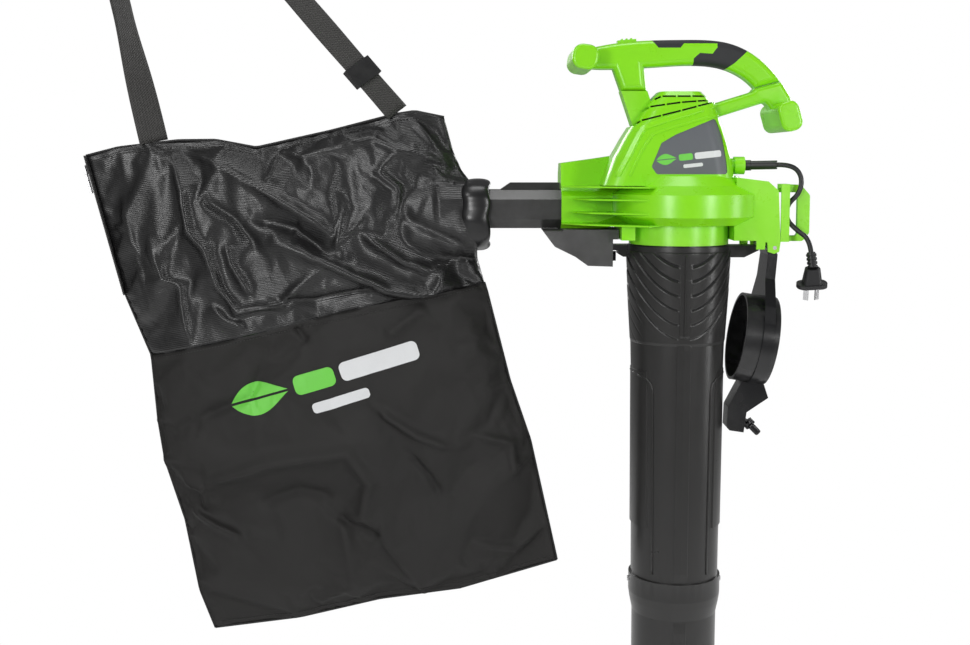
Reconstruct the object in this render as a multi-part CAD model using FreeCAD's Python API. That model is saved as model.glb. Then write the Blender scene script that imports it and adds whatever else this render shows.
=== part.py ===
import FreeCAD, Part

import math
import os

# Leaf vacuum mulcher in its vacuum form: a hand-held power head, a suction tube
# that hangs straight down from it and a collecting bag at the side.
# Millimetres. +Z is up, +X runs along the hand grip towards the mains lead, +Y is
# the rear side. The origin is the middle of the hand grip, and the fan, the motor
# and the suction tube share the vertical line X = 0, Y = 0 under it.

V = FreeCAD.Vector

# ---- Driving dimensions -----------------------------------------------------
WALL = 3.0                  # wall of the moulded housings
GRIP_HALF_DEPTH = 16.0      # half the width of the hand grip, front to rear
BAR_HALF_LENGTH = 55.0      # half the length of the two cross handles

HANDLE_SEAM_Z = -49.0       # where the handle's post stands on the housing
HOUSING_BASE_Z = -157.0     # foot of the motor housing on the fan casing's roof

BAND_TOP_Z = -169.0         # fan casing: top edge of its side band
BAND_BOTTOM_Z = -219.0      # fan casing: bottom edge of its side band
BAND_CHAMFER_Z = 11.0       # height of the band's two sloping edges
BAND_CHAMFER_R = 17.0       # depth of the band's two sloping edges
CASING_SPLIT_Z = -171.0     # joint between the casing's roof and its lower half
SCROLL_START_R = 86.0       # spiral radius at the tongue
SCROLL_END_R = 115.0        # spiral radius where the outlet leaves

DUCT_END_X = -152.0         # mouth of the outlet duct
DUCT_Y = 47.5               # middle of the outlet duct
DUCT_HALF_WIDTH = 45.5
DUCT_BOTTOM_Z = -229.5
SOCKET_DEPTH = 34.0         # how far the bag tube goes into the duct
BAG_TUBE_Z = -201.0         # middle height of the bag tube
BAG_TUBE_HALF_HEIGHT = 25.0
BAG_TUBE_HALF_WIDTH = 40.0
BAG_TUBE_CORNER = 12.0
BAG_TUBE_END_X = -300.0
BAG_TUBE_WALL = 2.5

COLLAR_R = 64.0             # intake collar under the fan casing
COLLAR_BORE_R = 60.3
COLLAR_BOTTOM_Z = -244.5
BRACKET_HALF_DEPTH = 54.0   # half the depth of the hinge bracket beside the collar
IMPELLER_R = 71.0
IMPELLER_TOP_Z = -176.0
IMPELLER_BOTTOM_Z = -210.0
BLADE_COUNT = 8

MOTOR_R = 39.0
MOTOR_TOP_Z = -88.0
MOTOR_BOTTOM_Z = -142.0
SHAFT_R = 4.0

SPIGOT_R = 60.0             # the tube's spigot that goes up into the collar
TUBE_FLANGE_Z = -246.0      # top face of the suction tube's flange
TUBE_WALL = 2.6
TUBE_JOINT_Z = -692.0       # where the lower tube plugs onto the upper one
TUBE_MOUTH_Z = -1160.0
LOWER_TUBE_R = 55.5

HINGE_X = 113.5             # hinge pin of the intake cover
HINGE_Z = -247.0
HINGE_PIN_R = 2.5
COVER_X = 77.5              # middle of the cover ring's face that looks at the tube
COVER_Z = -366.0
COVER_TILT = 9.0            # lean of the hanging cover, degrees
COVER_R = 59.0
COVER_DEPTH = 43.0
PADDLE_X0 = 21.5            # the arm's paddle, measured along the cover's own axis
PADDLE_X1 = 36.5

# The grip's top and under sides, as (x, z).
GRIP_TOP = [(-104, 8.4), (-90, 10.9), (-53, 14.7), (-2, 16.0), (32, 15.6), (57.6, 12.2), (89.8, -1.5),
            (113.6, -21.1), (126.5, -36.5)]
GRIP_UNDER = [(93.5, -45.0), (71.1, -27.8), (47.5, -19.0), (28.2, -16.4), (-1.6, -16.2), (-48, -19.0)]

# The upper tube's outside below its flange, as (radius, z).
TUBE_PROFILE = [(65.0, TUBE_FLANGE_Z - 12), (63.4, -319), (61.0, -366), (58.8, -452), (57.6, -613),
                (57.2, -675)]

LATCH_X = -94.0             # hand screw that holds the tube's ear
LATCH_Y = 10.0
PLUNGER_X = -105.0          # plunger that the ear presses on
PLUNGER_Y = 11.0
KNOB_START = (79.0, 0.0, -465.5)
KNOB_END = (107.3, 0.0, -493.8)

BAG_Y = 47.5                # middle of the bag, front to rear
BAG_WALL = 2.5
# The bag's outline from the front, as (x, z), and the seam across it.
BAG_OUTLINE = [(-783, -131), (-740, -120), (-660, -110.5), (-590, -118), (-548, -116), (-457, -98), (-371, -76),
               (-345, -72), (-319, -80), (-301, -137), (-290, -157), (-262, -176), (-262, -265), (-249, -311),
               (-218, -433), (-190, -515), (-153, -682), (-286, -722), (-396, -737), (-506, -763), (-623, -778),
               (-643, -725), (-661, -626), (-687, -543), (-695, -488), (-702, -399), (-735, -317)]
SEAM = ((-702.0, -399.0), (-240.0, -300.0))
ZIP_TOP = (-783.0, -131.0)
ZIP_BOTTOM = (-735.0, -317.0)

STRAP_WIDTH = 38.0
STRAP_THICKNESS = 2.0
STRAP_LEFT = (-692.0, -113.0)    # feet of its two runs, as (x, z)
STRAP_RIGHT = (-368.0, -74.0)
STRAP_TOP_X = -776.0
STRAP_TOP_Z = 385.0
STRAP_TOP_R = 20.0
BUCKLE_TWIST = 40.0         # the webbing's turn about its own run where the buckle slides

CORD_DIAMETER = 6.2
GLAND_Y = -22.0             # where the lead leaves the housing
GLAND_Z = -143.7
BOOT_END = (118.0, -37.0, -142.8)
PLUG_WAY = V(0.05, -0.3, -0.95).normalize()
CORD_ROUTE = [BOOT_END, (135.0, -42.8, -142.45), (148.0, -45.0, -156.0), (146.0, -45.2, -178.0),
              (129.5, -44.5, -193.0), (129.5, -44.6, -212.0), (142.0, -48.5, -225.0), (155.1, -60.9, -235.8),
              (156.0, -66.0, -252.0)]

# Screws that join the front and rear shells, as (x, z) and for the housing the half depth there.
HANDLE_SCREWS = [(-112, -7), (-20, 0), (62, -8), (108, -32)]
HOUSING_SCREWS = [(-71, -127, 46.0), (84, -57, 15.0), (-62, -58, 16.0)]
SCREW_R = 2.0

NODES = {}


# ---- Shape helpers ----------------------------------------------------------
def box(x0, x1, y0, y1, z0, z1):
    return Part.makeBox(x1 - x0, y1 - y0, z1 - z0, V(x0, y0, z0))


def cylinder(radius, start, end):
    axis = V(*end) - V(*start)
    return Part.makeCylinder(radius, axis.Length, V(*start), axis)


def upright(radius, z0, z1, x=0.0, y=0.0):
    return Part.makeCylinder(radius, z1 - z0, V(x, y, z0))


def ring(outer, inner, z0, z1, x=0.0, y=0.0):
    return upright(outer, z0, z1, x, y).cut(upright(inner, z0, z1, x, y))


def in_front_plane(points, y=0.0):
    """Points given as (x, z) in a plane that faces the front."""
    return [V(x, y, z) for x, z in points]


def in_side_plane(points, x=0.0):
    """Points given as (y, z) in a plane that faces along X."""
    return [V(x, y, z) for y, z in points]


def closed_wire(points):
    return Part.makePolygon(list(points) + [points[0]])


def rounded_wire(points, radius):
    """A closed outline with each corner rounded by an arc that is tangent to both sides."""
    count = len(points)
    edges = []
    ends = []
    for i in range(count):
        corner = points[i]
        back = (points[i - 1] - corner)
        ahead = (points[(i + 1) % count] - corner)
        half = back.getAngle(ahead) / 2
        reach = min(radius / math.tan(half), 0.45 * back.Length, 0.45 * ahead.Length)
        start = corner + V(back).normalize() * reach
        end = corner + V(ahead).normalize() * reach
        centre_way = (V(back).normalize() + V(ahead).normalize()).normalize()
        arc_radius = reach * math.tan(half)
        centre = corner + centre_way * (reach / math.cos(half))
        middle = centre - centre_way * arc_radius
        ends.append((start, middle, end))
    for i in range(count):
        start, middle, end = ends[i]
        edges.append(Part.Arc(start, middle, end).toShape())
        following = ends[(i + 1) % count][0]
        if (following - end).Length > 1e-6:
            edges.append(Part.makeLine(end, following))
    return Part.Wire(edges)


def curve_edge(points):
    spline = Part.BSplineCurve()
    spline.interpolate(points)
    return spline.toShape()


def plate_y(wire, y0, y1):
    """Extrudes an outline that lies at y = 0 from y0 to y1."""
    solid = Part.Face(wire).extrude(V(0, y1 - y0, 0))
    solid.translate(V(0, y0, 0))
    return solid


def plate_x(wire, x0, x1):
    solid = Part.Face(wire).extrude(V(x1 - x0, 0, 0))
    solid.translate(V(x0, 0, 0))
    return solid


def loft(wires, ruled=True):
    return Part.makeLoft(wires, True, ruled)


def rounded_ends(solid, radius):
    """Rounds the edges round the front and rear faces of a plate made by plate_y."""
    depths = [vertex.Y for vertex in solid.Vertexes]
    low = min(depths)
    high = max(depths)
    edges = []
    for edge in solid.Edges:
        middle = edge.valueAt((edge.FirstParameter + edge.LastParameter) / 2).y
        span = [middle] + [vertex.Y for vertex in edge.Vertexes]
        if max(span) - low < 1e-4 or high - min(span) < 1e-4:
            edges.append(edge)
    return solid.makeFillet(radius, edges)


def front_half(solid):
    return solid.common(box(-2000, 2000, -2000, 0, -2000, 2000))


def rear_half(solid):
    return solid.common(box(-2000, 2000, 0, 2000, -2000, 2000))


def above(z):
    return box(-2000, 2000, -2000, 2000, z, 2000)


def below(z):
    return box(-2000, 2000, -2000, 2000, -2000, z)


def turned(solid, centre, axis, degrees):
    copy = solid.copy()
    copy.rotate(V(*centre), V(*axis), degrees)
    return copy


def fuse_all(solids):
    result = solids[0]
    for solid in solids[1:]:
        result = result.fuse(solid)
    return result.removeSplitter()


def node(name, shape):
    NODES[name] = shape
    return shape


# ---- Handle and cross bars --------------------------------------------------
def moved_in(points, inset):
    """Moves each corner of a clockwise outline inward, so that its sides move in by inset."""
    moved = []
    for index, (x, z) in enumerate(points):
        before = points[index - 1]
        after = points[(index + 1) % len(points)]
        normals = []
        for start, end in ((before, (x, z)), ((x, z), after)):
            length = math.hypot(end[0] - start[0], end[1] - start[1])
            normals.append(((end[1] - start[1]) / length, (start[0] - end[0]) / length))
        spread = 1 + normals[0][0] * normals[1][0] + normals[0][1] * normals[1][1]
        moved.append((x + inset * (normals[0][0] + normals[1][0]) / spread,
                      z + inset * (normals[0][1] + normals[1][1]) / spread))
    return moved


def grip_outline(inset):
    """Side outline of the handle: cross bar root, grip, rear end and post, in by inset all round."""
    post = [(-44.5, HANDLE_SEAM_Z), (-78.0, HANDLE_SEAM_Z), (-88, -21.0), (-104, -21.1), (-127, -20.0),
            (-127, 4.0)]
    points = moved_in(GRIP_TOP + GRIP_UNDER + post, inset)
    rear = len(GRIP_TOP)
    front = rear + len(GRIP_UNDER)
    edges = [curve_edge(in_front_plane(points[:rear])), curve_edge(in_front_plane(points[rear:front]))]
    straight = [points[rear - 1], points[rear]]
    edges.append(Part.makeLine(*in_front_plane(straight)))
    loop = points[front - 1:] + points[:1]
    for start, end in zip(loop[:-1], loop[1:]):
        edges.append(Part.makeLine(*in_front_plane([start, end])))
    return Part.Wire(Part.__sortEdges__(edges))


def cross_bar(x, z, width, height, lean, inset=0.0):
    """An oval bar across the handle, with soft ends, whose ends can be gripped by the second hand."""
    half_w = width / 2 - inset
    half_h = height / 2 - inset
    corners = [(-half_w, -half_h), (half_w, -half_h), (half_w, half_h), (-half_w, half_h)]
    wire = rounded_wire(in_front_plane(corners), 0.42 * min(width, height))
    bar = plate_y(wire, -BAR_HALF_LENGTH + inset, BAR_HALF_LENGTH - inset)
    if not inset:
        bar = rounded_ends(bar, 4.0)
    bar.rotate(V(0, 0, 0), V(0, 1, 0), lean)
    bar.translate(V(x, 0, z))
    return bar


def handle_solid(inset):
    grip = plate_y(grip_outline(inset), -GRIP_HALF_DEPTH + inset, GRIP_HALF_DEPTH - inset)
    if not inset:
        grip = rounded_ends(grip, 9.0)
    return grip.fuse(cross_bar(-126.5, -8.5, 33, 31, 8, inset))


def overmould_outline():
    """The soft grip's zig-zag outline, seen from the side."""
    return in_front_plane([(-39, 30), (-39, 15), (-31, 5.5), (-3, 5.5), (1.5, 11), (44, 11), (44, 6), (38, -2),
                           (22, -1), (14, -8), (14, -30), (42, -30), (66, -14), (90, 8), (70, 30)])


def make_handle():
    skin = 1.6
    outer = handle_solid(0.0)
    hollow = handle_solid(WALL)
    band = plate_y(closed_wire(overmould_outline()), -40, 40)
    core = plate_y(grip_outline(skin), -GRIP_HALF_DEPTH + skin, GRIP_HALF_DEPTH - skin)
    core = rounded_ends(core, 8.0)
    overmould = outer.common(band).cut(core)
    slot = box(-90, -50, -7, 7, 8, 30)
    shell = outer.cut(hollow).cut(slot)
    for x, z in HANDLE_SCREWS:
        shell = shell.fuse(screw_boss(x, z, GRIP_HALF_DEPTH)).cut(screw_hole(x, z, GRIP_HALF_DEPTH))
    shell = shell.common(outer).cut(overmould)
    node("handle_shell_front", front_half(shell))
    node("handle_shell_rear", rear_half(shell))
    node("grip_overmould", overmould)


def make_power_slider():
    """The thumb slider on top of the handle: a plate that stands in its slot, with three ridges."""
    stem = box(-78, -62, -5, 5, 4, 12.5)
    cap = box(-82, -58, -6.6, 6.6, 12.9, 16.5)
    ridges = [box(x, x + 2, -6.6, 6.6, 16.5, 18.0) for x in (-77, -71, -65)]
    slider = fuse_all([stem, box(-78, -62, -5, 5, 12.5, 12.9), cap] + ridges)
    node("power_slider", turned(slider, (-70, 0, 13), (0, 1, 0), -5))
    node("power_switch", box(-84, -56, -8, 8, -13, 1.5))


# ---- Motor housing ----------------------------------------------------------
def level(z, x0, x1, half_depth, corner):
    points = [V(x0, -half_depth, z), V(x1, -half_depth, z), V(x1, half_depth, z), V(x0, half_depth, z)]
    return rounded_wire(points, corner)


def housing_body(inset):
    """Main body of the motor housing: rounded levels from its wide foot up to its narrow shoulder."""
    levels = [(BAND_TOP_Z, -102, 66, 56, 26), (-150, -94.5, 64, 54, 26), (-132, -88, 61, 52, 26),
              (-110, -76, 54.5, 49, 26), (-94, -66, 49.5, 46, 24), (-60, -45, 38, 38, 22)]
    wires = [level(z, x0 + inset, x1 - inset, half - inset, corner) for z, x0, x1, half, corner in levels]
    return loft(wires)


def housing_cap(inset):
    """The vented cap that rises out of the shoulder."""
    levels = [(-112, -70, 52, 44.5, 24), (-94, -62, 47, 42.5, 23), (-75, -50, 41, 38.5, 21),
              (-57, -36, 31, 33, 18), (-50 - inset, -29, 24, 27, 14)]
    wires = [level(z, x0 + inset, x1 - inset, half - inset, corner) for z, x0, x1, half, corner in levels]
    return loft(wires)


def arm_outline():
    """The arm from the housing's shoulder to the rear cross bar, with the root of that bar."""
    return in_front_plane([(-20, -84), (44, -64), (90, -49.8), (93.5, -45.1), (126.5, -36.6), (139, -56),
                           (144, -72),
                           (138, -96), (124, -92), (116, -74), (107, -63.4), (54, -80), (0, -97)])


def vent_rows():
    """Three rows of vent slots on the cap: each is a run of short strips with bridges left between."""
    rows = [[(-37, -60.5), (-28, -56.4), (28, -56.4)],
            [(-52, -76), (-43, -69.6), (-4, -64.2), (36, -61.2)],
            [(-64, -94.5), (-54, -87), (-4, -74.5), (36, -64)]]
    strips = []
    for row in rows:
        for start, end in zip(row[:-1], row[1:]):
            run = V(end[0] - start[0], 0, end[1] - start[1])
            pieces = max(1, round(run.Length / 21.0))
            step = run.Length / pieces
            for i in range(pieces):
                strip = box(i * step + 0.9, (i + 1) * step - 0.9, -70, 70, -1.1, 1.1)
                strip = strip.cut(box(-10, run.Length + 10, -15, 15, -5, 5))
                strip.rotate(V(0, 0, 0), V(0, 1, 0), -math.degrees(math.atan2(run.z, run.x)))
                strip.translate(V(start[0], 0, start[1]))
                strips.append(strip)
    return strips


def badge_wire():
    points = [(-42.9, -145), (-30.4, -115.5), (-12.3, -105), (38.3, -84.2), (47, -107), (51.7, -138),
              (53, -154.6), (-36.6, -154.6)]
    return rounded_wire(in_front_plane(points), 4.0)


def make_motor_housing(roof_outer):
    shoulder = plate_y(closed_wire(in_front_plane([(-120, -98.5), (-66, -94.5), (36, -63.5), (60, -57),
                                                   (90, -57),
                                                   (90, -200), (-120, -200)])), -80, 80)
    post = plate_y(closed_wire(in_front_plane([(-78, HANDLE_SEAM_Z), (-44.5, HANDLE_SEAM_Z), (-30, -90),
                                               (-62, -96)])), -GRIP_HALF_DEPTH, GRIP_HALF_DEPTH)
    post_hollow = plate_y(closed_wire(in_front_plane([(-74.5, HANDLE_SEAM_Z), (-48, HANDLE_SEAM_Z), (-34, -95),
                                                      (-58, -99)])), -GRIP_HALF_DEPTH + WALL,
                          GRIP_HALF_DEPTH - WALL)
    arm = rounded_ends(plate_y(rounded_wire(arm_outline(), 5.0), -15, 15), 6.0)
    bar = cross_bar(130, -82, 27, 38, -16)
    outer = fuse_all([housing_body(0).common(shoulder), housing_cap(0), post, arm, bar])
    hollow = fuse_all([housing_body(WALL).common(shoulder.copy().translated(V(0, 0, -WALL))),
                       housing_cap(WALL), post_hollow])
    bar_hollow = cross_bar(130, -82, 27, 38, -16, WALL)
    gland_hole = cylinder(9.0, (40, GLAND_Y, GLAND_Z), (90, GLAND_Y, GLAND_Z))
    shell = outer.cut(hollow).cut(bar_hollow).cut(roof_outer).cut(gland_hole)
    for x, z, half_depth in HOUSING_SCREWS:
        shell = shell.fuse(screw_boss(x, z, half_depth)).cut(screw_hole(x, z, half_depth))
    shell = shell.common(outer).cut(roof_outer).cut(upright(MOTOR_R + 0.5, -155, -80))
    for strip in vent_rows():
        shell = shell.cut(strip)
    badge = plate_y(badge_wire(), -80, 80)
    recess = outer.common(badge).cut(housing_body(1.6)).cut(roof_outer)
    panel = recess.common(housing_body(0.6))
    for side, keep in (("front", front_half), ("rear", rear_half)):
        node("housing_" + side, keep(shell.cut(recess)))
        node("badge_panel_" + side, keep(panel))


# ---- Fan casing -------------------------------------------------------------
def spiral_radius(degrees):
    """The scroll's radius grows evenly from the tongue, at 180 degrees, round to the outlet, at 450."""
    return SCROLL_START_R + (SCROLL_END_R - SCROLL_START_R) * (degrees - 180.0) / 270.0


def spiral_wire(inset, z):
    points = []
    for degrees in range(180, 451, 15):
        radius = spiral_radius(degrees) - inset
        angle = math.radians(degrees)
        points.append(V(radius * math.cos(angle), radius * math.sin(angle), z))
    corner = V(inset - SCROLL_START_R, DUCT_Y + DUCT_HALF_WIDTH - inset, z)
    return Part.Wire([curve_edge(points), Part.makeLine(points[-1], corner), Part.makeLine(corner, points[0])])


def scroll_solid(inset):
    """The spiral drum with its two sloping edges, in by inset all round."""
    top = BAND_TOP_Z - inset
    bottom = BAND_BOTTOM_Z + inset
    chamfer = BAND_CHAMFER_R + inset
    upper = loft([spiral_wire(chamfer, top), spiral_wire(inset, top - BAND_CHAMFER_Z)])
    middle = loft([spiral_wire(inset, top - BAND_CHAMFER_Z), spiral_wire(inset, bottom + BAND_CHAMFER_Z)])
    lower = loft([spiral_wire(inset, bottom + BAND_CHAMFER_Z), spiral_wire(chamfer, bottom)])
    return upper.fuse(middle).fuse(lower)


def casing_roof():
    """The shallow cone over the spiral drum that the motor housing stands on."""
    return loft([spiral_wire(BAND_CHAMFER_R, BAND_TOP_Z), spiral_wire(30, HOUSING_BASE_Z)])


def duct_solid(inset):
    """The outlet duct: an eight-sided lower part with a sloping shoulder that rises towards the housing."""
    front = DUCT_Y - DUCT_HALF_WIDTH + inset
    rear = DUCT_Y + DUCT_HALF_WIDTH - inset

    def section(x, top, bottom):
        top = top - inset
        bottom = bottom + inset
        points = [(front, bottom + 12), (front + 12, bottom), (rear - 12, bottom), (rear, bottom + 12),
                  (rear, top - 14),
                  (rear - 13, top), (front + 27, top), (front + 12, -171 - inset), (front, -183)]
        return closed_wire(in_side_plane(points, x))

    return loft([section(DUCT_END_X + inset, -141.0, DUCT_BOTTOM_Z), section(-105, -134.5, DUCT_BOTTOM_Z),
                 section(-82, -131.0, -222.0), section(-66, -142.0, BAND_BOTTOM_Z),
                 section(-45, HOUSING_BASE_Z, BAND_BOTTOM_Z)])


def octagon_wire(grow, x):
    half_w = BAG_TUBE_HALF_WIDTH + grow
    half_h = BAG_TUBE_HALF_HEIGHT + grow
    cut = BAG_TUBE_CORNER + 0.6 * grow
    points = []
    for sy, sz, first in ((-1, -1, True), (1, -1, False), (1, 1, True), (-1, 1, False)):
        long_side = (DUCT_Y + sy * half_w, BAG_TUBE_Z + sz * (half_h - cut))
        short_side = (DUCT_Y + sy * (half_w - cut), BAG_TUBE_Z + sz * half_h)
        points += [long_side, short_side] if first else [short_side, long_side]
    return closed_wire(in_side_plane(points, x))


def octagon_tube(grow, x0, x1):
    return plate_x(octagon_wire(grow, 0), x0, x1)


def fin(z, left_x):
    """One of the flat ribs that bridge the valley between the duct and the spiral drum."""
    points = [V(left_x, 8, z), V(left_x, -3, z), V(-120, -38, z), (V(-49, -79, z)), V(-30, -60, z),
              V(-60, 8, z)]
    return Part.Face(closed_wire(points)).extrude(V(0, 0, -2.0))


def make_fan_casing():
    roof = casing_roof()
    roof_hollow = loft([spiral_wire(BAND_CHAMFER_R + WALL, BAND_TOP_Z - 0.5),
                        spiral_wire(30 + WALL, HOUSING_BASE_Z - WALL)])
    duct = duct_solid(0)
    passage = duct_solid(WALL)
    outer = fuse_all([scroll_solid(0), roof, duct])
    hollow = fuse_all([scroll_solid(WALL), roof_hollow, passage])
    sleeve = octagon_tube(WALL, DUCT_END_X, DUCT_END_X + SOCKET_DEPTH)
    socket = octagon_tube(0.4, DUCT_END_X - 5, DUCT_END_X + SOCKET_DEPTH + 5)
    shell = outer.cut(hollow).fuse(sleeve.common(outer)).cut(socket)
    shell = shell.cut(upright(COLLAR_BORE_R - 4, -230, -210))
    shell = shell.cut(upright(44, -175, -150))
    fins = fuse_all([fin(-170.0, DUCT_END_X), fin(-186.0, -138), fin(-203.0, -138), fin(-218.0, DUCT_END_X)])
    shell = shell.fuse(fins.cut(outer)).removeSplitter()
    node("volute_upper", shell.common(above(CASING_SPLIT_Z)))
    node("volute_lower", shell.common(below(CASING_SPLIT_Z)))
    return outer


def make_intake_flange():
    """Collar for the suction tube, with the hollow bracket that carries the cover's hinge."""
    floor_top = -218.5
    floor_under = -222.0
    collar = ring(COLLAR_R, COLLAR_BORE_R, COLLAR_BOTTOM_Z, BAND_BOTTOM_Z)
    left_lug = box(-79, -62, -50, 50, -238, BAND_BOTTOM_Z)
    web = box(62, 96, -BRACKET_HALF_DEPTH, BRACKET_HALF_DEPTH, -238, BAND_BOTTOM_Z)
    outline = in_front_plane([(64, -158.5), (104, -163.5), (117, -175), (120.5, -240), (119, -252),
                              (112.5, -254.5),
                              (105, -252), (104, -240), (101.5, -240), (101, -249), (90.3, -249), (90.3, -238),
                              (64, -238)])
    chamber = in_front_plane([(50, -163), (102, -167), (113.5, -177), (116, floor_top), (50, floor_top)])
    pocket = in_front_plane([(66, floor_under), (116.2, floor_under), (116.8, -240), (116.8, -270), (66, -270)])
    inside = BRACKET_HALF_DEPTH - WALL - 0.5
    bracket = plate_y(closed_wire(outline), -BRACKET_HALF_DEPTH, BRACKET_HALF_DEPTH)
    pin_hole = cylinder(HINGE_PIN_R, (HINGE_X, -60, HINGE_Z), (HINGE_X, 60, HINGE_Z))
    swing = box(103.5, 130, -47, 47, -300, -234)
    flange = fuse_all([collar, left_lug, web, bracket]).cut(plate_y(closed_wire(chamber), -inside, inside))
    flange = flange.cut(plate_y(closed_wire(pocket), -inside, inside)).cut(pin_hole).cut(swing)
    flange = flange.cut(scroll_solid(0)).cut(casing_roof())
    flange = flange.cut(NODES["volute_lower"]).cut(NODES["volute_upper"])
    node("intake_flange", flange.cut(upright(COLLAR_BORE_R, -300, 0)))


def make_cord_retainer():
    """The open frame beside the bracket that holds a loop of the lead: the lead runs in front of its
    bars and behind its flat front lip."""
    outer = rounded_wire(in_front_plane([(120.6, -166.8), (148.7, -168), (160.4, -181), (160.4, -229),
                                         (152, -239.4),
                                         (120.6, -239.4)]), 5)
    window = rounded_wire(in_front_plane([(100, -177.5), (145, -177.5), (145, -232.3), (100, -232.3)]), 3)
    bars = plate_y(outer, -38, -30).cut(plate_y(window, -60, -20)).common(box(120.6, 200, -60, 0, -300, -100))
    lip = box(120.6, 131.2, -54, -51, -239.4, -166.8)
    upper_web = box(120.6, 131.2, -54, -30, -172, -166.8)
    lower_web = box(120.6, 131.2, -54, -30, -239.4, -235)
    node("cord_retainer", fuse_all([bars, lip, upper_web, lower_web]))


# ---- Motor, fan and electrics ----------------------------------------------
def make_motor():
    """Series motor: stator and coils, armature, commutator and brushes, two bearings and their holders."""
    node("motor_stator", ring(MOTOR_R, 24.5, MOTOR_BOTTOM_Z + 8, MOTOR_TOP_Z - 8))
    upper_coil = ring(35, 26, MOTOR_TOP_Z - 8, MOTOR_TOP_Z)
    lower_coil = ring(35, 26, MOTOR_BOTTOM_Z, MOTOR_BOTTOM_Z + 8)
    node("field_windings", Part.makeCompound([upper_coil, lower_coil]))
    node("motor_shaft", upright(SHAFT_R, -212, -64))
    node("armature", ring(23.5, SHAFT_R, MOTOR_BOTTOM_Z + 6, MOTOR_TOP_Z - 10))
    node("commutator", ring(11, SHAFT_R, MOTOR_TOP_Z - 8, MOTOR_TOP_Z + 10))
    bearing_z = MOTOR_TOP_Z + 13
    node("upper_bearing", ring(11, SHAFT_R, bearing_z, bearing_z + 7))
    node("lower_bearing", ring(14, SHAFT_R, -158, -149))
    bridge = [ring(14, 11, bearing_z - 1.5, bearing_z + 9)]
    for side in (0, 180):
        spoke = box(13, 38, -4, 4, bearing_z - 1.5, bearing_z + 2.5)
        leg = box(35.4, 38, -4, 4, MOTOR_TOP_Z - 8, bearing_z + 2.5)
        bridge.append(turned(spoke.fuse(leg), (0, 0, 0), (0, 0, 1), 45 + side))
    node("bearing_bridge", fuse_all(bridge))
    brush_z = MOTOR_TOP_Z + 2.5
    tube = box(13, 30, -6, 6, brush_z, brush_z + 7).cut(box(10, 28, -4, 4, brush_z + 1.5, brush_z + 5.5))
    brush = box(11.1, 27, -4, 4, brush_z + 1.5, brush_z + 5.5)
    holders = [turned(tube, (0, 0, 0), (0, 0, 1), side) for side in (0, 180)]
    brushes = [turned(brush, (0, 0, 0), (0, 0, 1), side) for side in (0, 180)]
    node("brush_holders", Part.makeCompound(holders))
    node("carbon_brushes", Part.makeCompound(brushes))
    plate = ring(46, 14, -154, -150)
    hub = ring(18, 14, -160, -154)
    feet = [turned(box(35.3, 38, -4, 4, -150, MOTOR_BOTTOM_Z + 8), (0, 0, 0), (0, 0, 1), side)
            for side in (0, 180)]
    node("motor_plate", fuse_all([plate, hub] + feet))
    node("speed_board", box(-60, -56, -18, 18, -140, -112))


def make_fan():
    hub = ring(16, SHAFT_R, IMPELLER_BOTTOM_Z + 6, IMPELLER_TOP_Z)
    disc = ring(IMPELLER_R, SHAFT_R, IMPELLER_TOP_Z - 3, IMPELLER_TOP_Z)
    blades = []
    for i in range(BLADE_COUNT):
        blade = box(14, IMPELLER_R, -1.5, 1.5, IMPELLER_BOTTOM_Z, IMPELLER_TOP_Z - 2)
        blades.append(turned(blade, (0, 0, 0), (0, 0, 1), 360.0 / BLADE_COUNT * i))
    node("impeller", fuse_all([disc, hub] + blades).cut(upright(SHAFT_R, -230, -150)))
    nut = Part.Face(closed_wire([V(7 * math.cos(math.radians(a)), 7 * math.sin(math.radians(a)), -211)
                                 for a in range(0, 360, 60)])).extrude(V(0, 0, 6.9))
    node("impeller_nut", nut.cut(upright(SHAFT_R, -230, -150)))


# ---- Suction tube -----------------------------------------------------------


def revolve(profile):
    """Turns a closed (radius, z) outline once round the fan axis."""
    face = Part.Face(closed_wire([V(r, 0, z) for r, z in profile]))
    return face.revolve(V(0, 0, 0), V(0, 0, 1), 360)


def make_upper_tube():
    spigot_bore = SPIGOT_R - TUBE_WALL
    spigot = [(spigot_bore, -226), (SPIGOT_R, -226), (SPIGOT_R, TUBE_FLANGE_Z), (66.2, TUBE_FLANGE_Z),
              (66.2, TUBE_FLANGE_Z - 6)]
    outer = TUBE_PROFILE + [(57.2, TUBE_JOINT_Z - 20)]
    inner = [(r - TUBE_WALL, z) for r, z in reversed(TUBE_PROFILE[1:] + outer[-1:])]
    throat = [(62.2, TUBE_FLANGE_Z - 20), (spigot_bore, TUBE_FLANGE_Z - 4)]
    body = revolve(spigot + outer + inner + throat)
    left_ear = box(-108, -61, -4, 24, TUBE_FLANGE_Z - 7.5, TUBE_FLANGE_Z - 0.5)
    left_rib = plate_y(closed_wire(in_front_plane([(-78.5, -253), (-78, -258.5), (-72, -262), (-58, -262),
                                                   (-58, -253)])),
                       -4, 24)
    right_ear = plate_y(closed_wire(in_front_plane([(60, -246.5), (102, -246.5), (102, -253), (83.5, -262),
                                                    (58, -262)])),
                        -14, 14)
    core = upright(63.5, -300, -230)
    ears = left_ear.fuse(left_rib).fuse(right_ear).cut(core)
    hole = upright(3.2, -270, -240, LATCH_X, LATCH_Y)
    ribs = [flank_rib(side) for side in (-1, 1)]
    tube = fuse_all([body, ears] + ribs).cut(hole)
    for screw_solid in tube_screw_solids():
        tube = tube.cut(screw_solid)
    node("upper_tube", tube)


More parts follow.
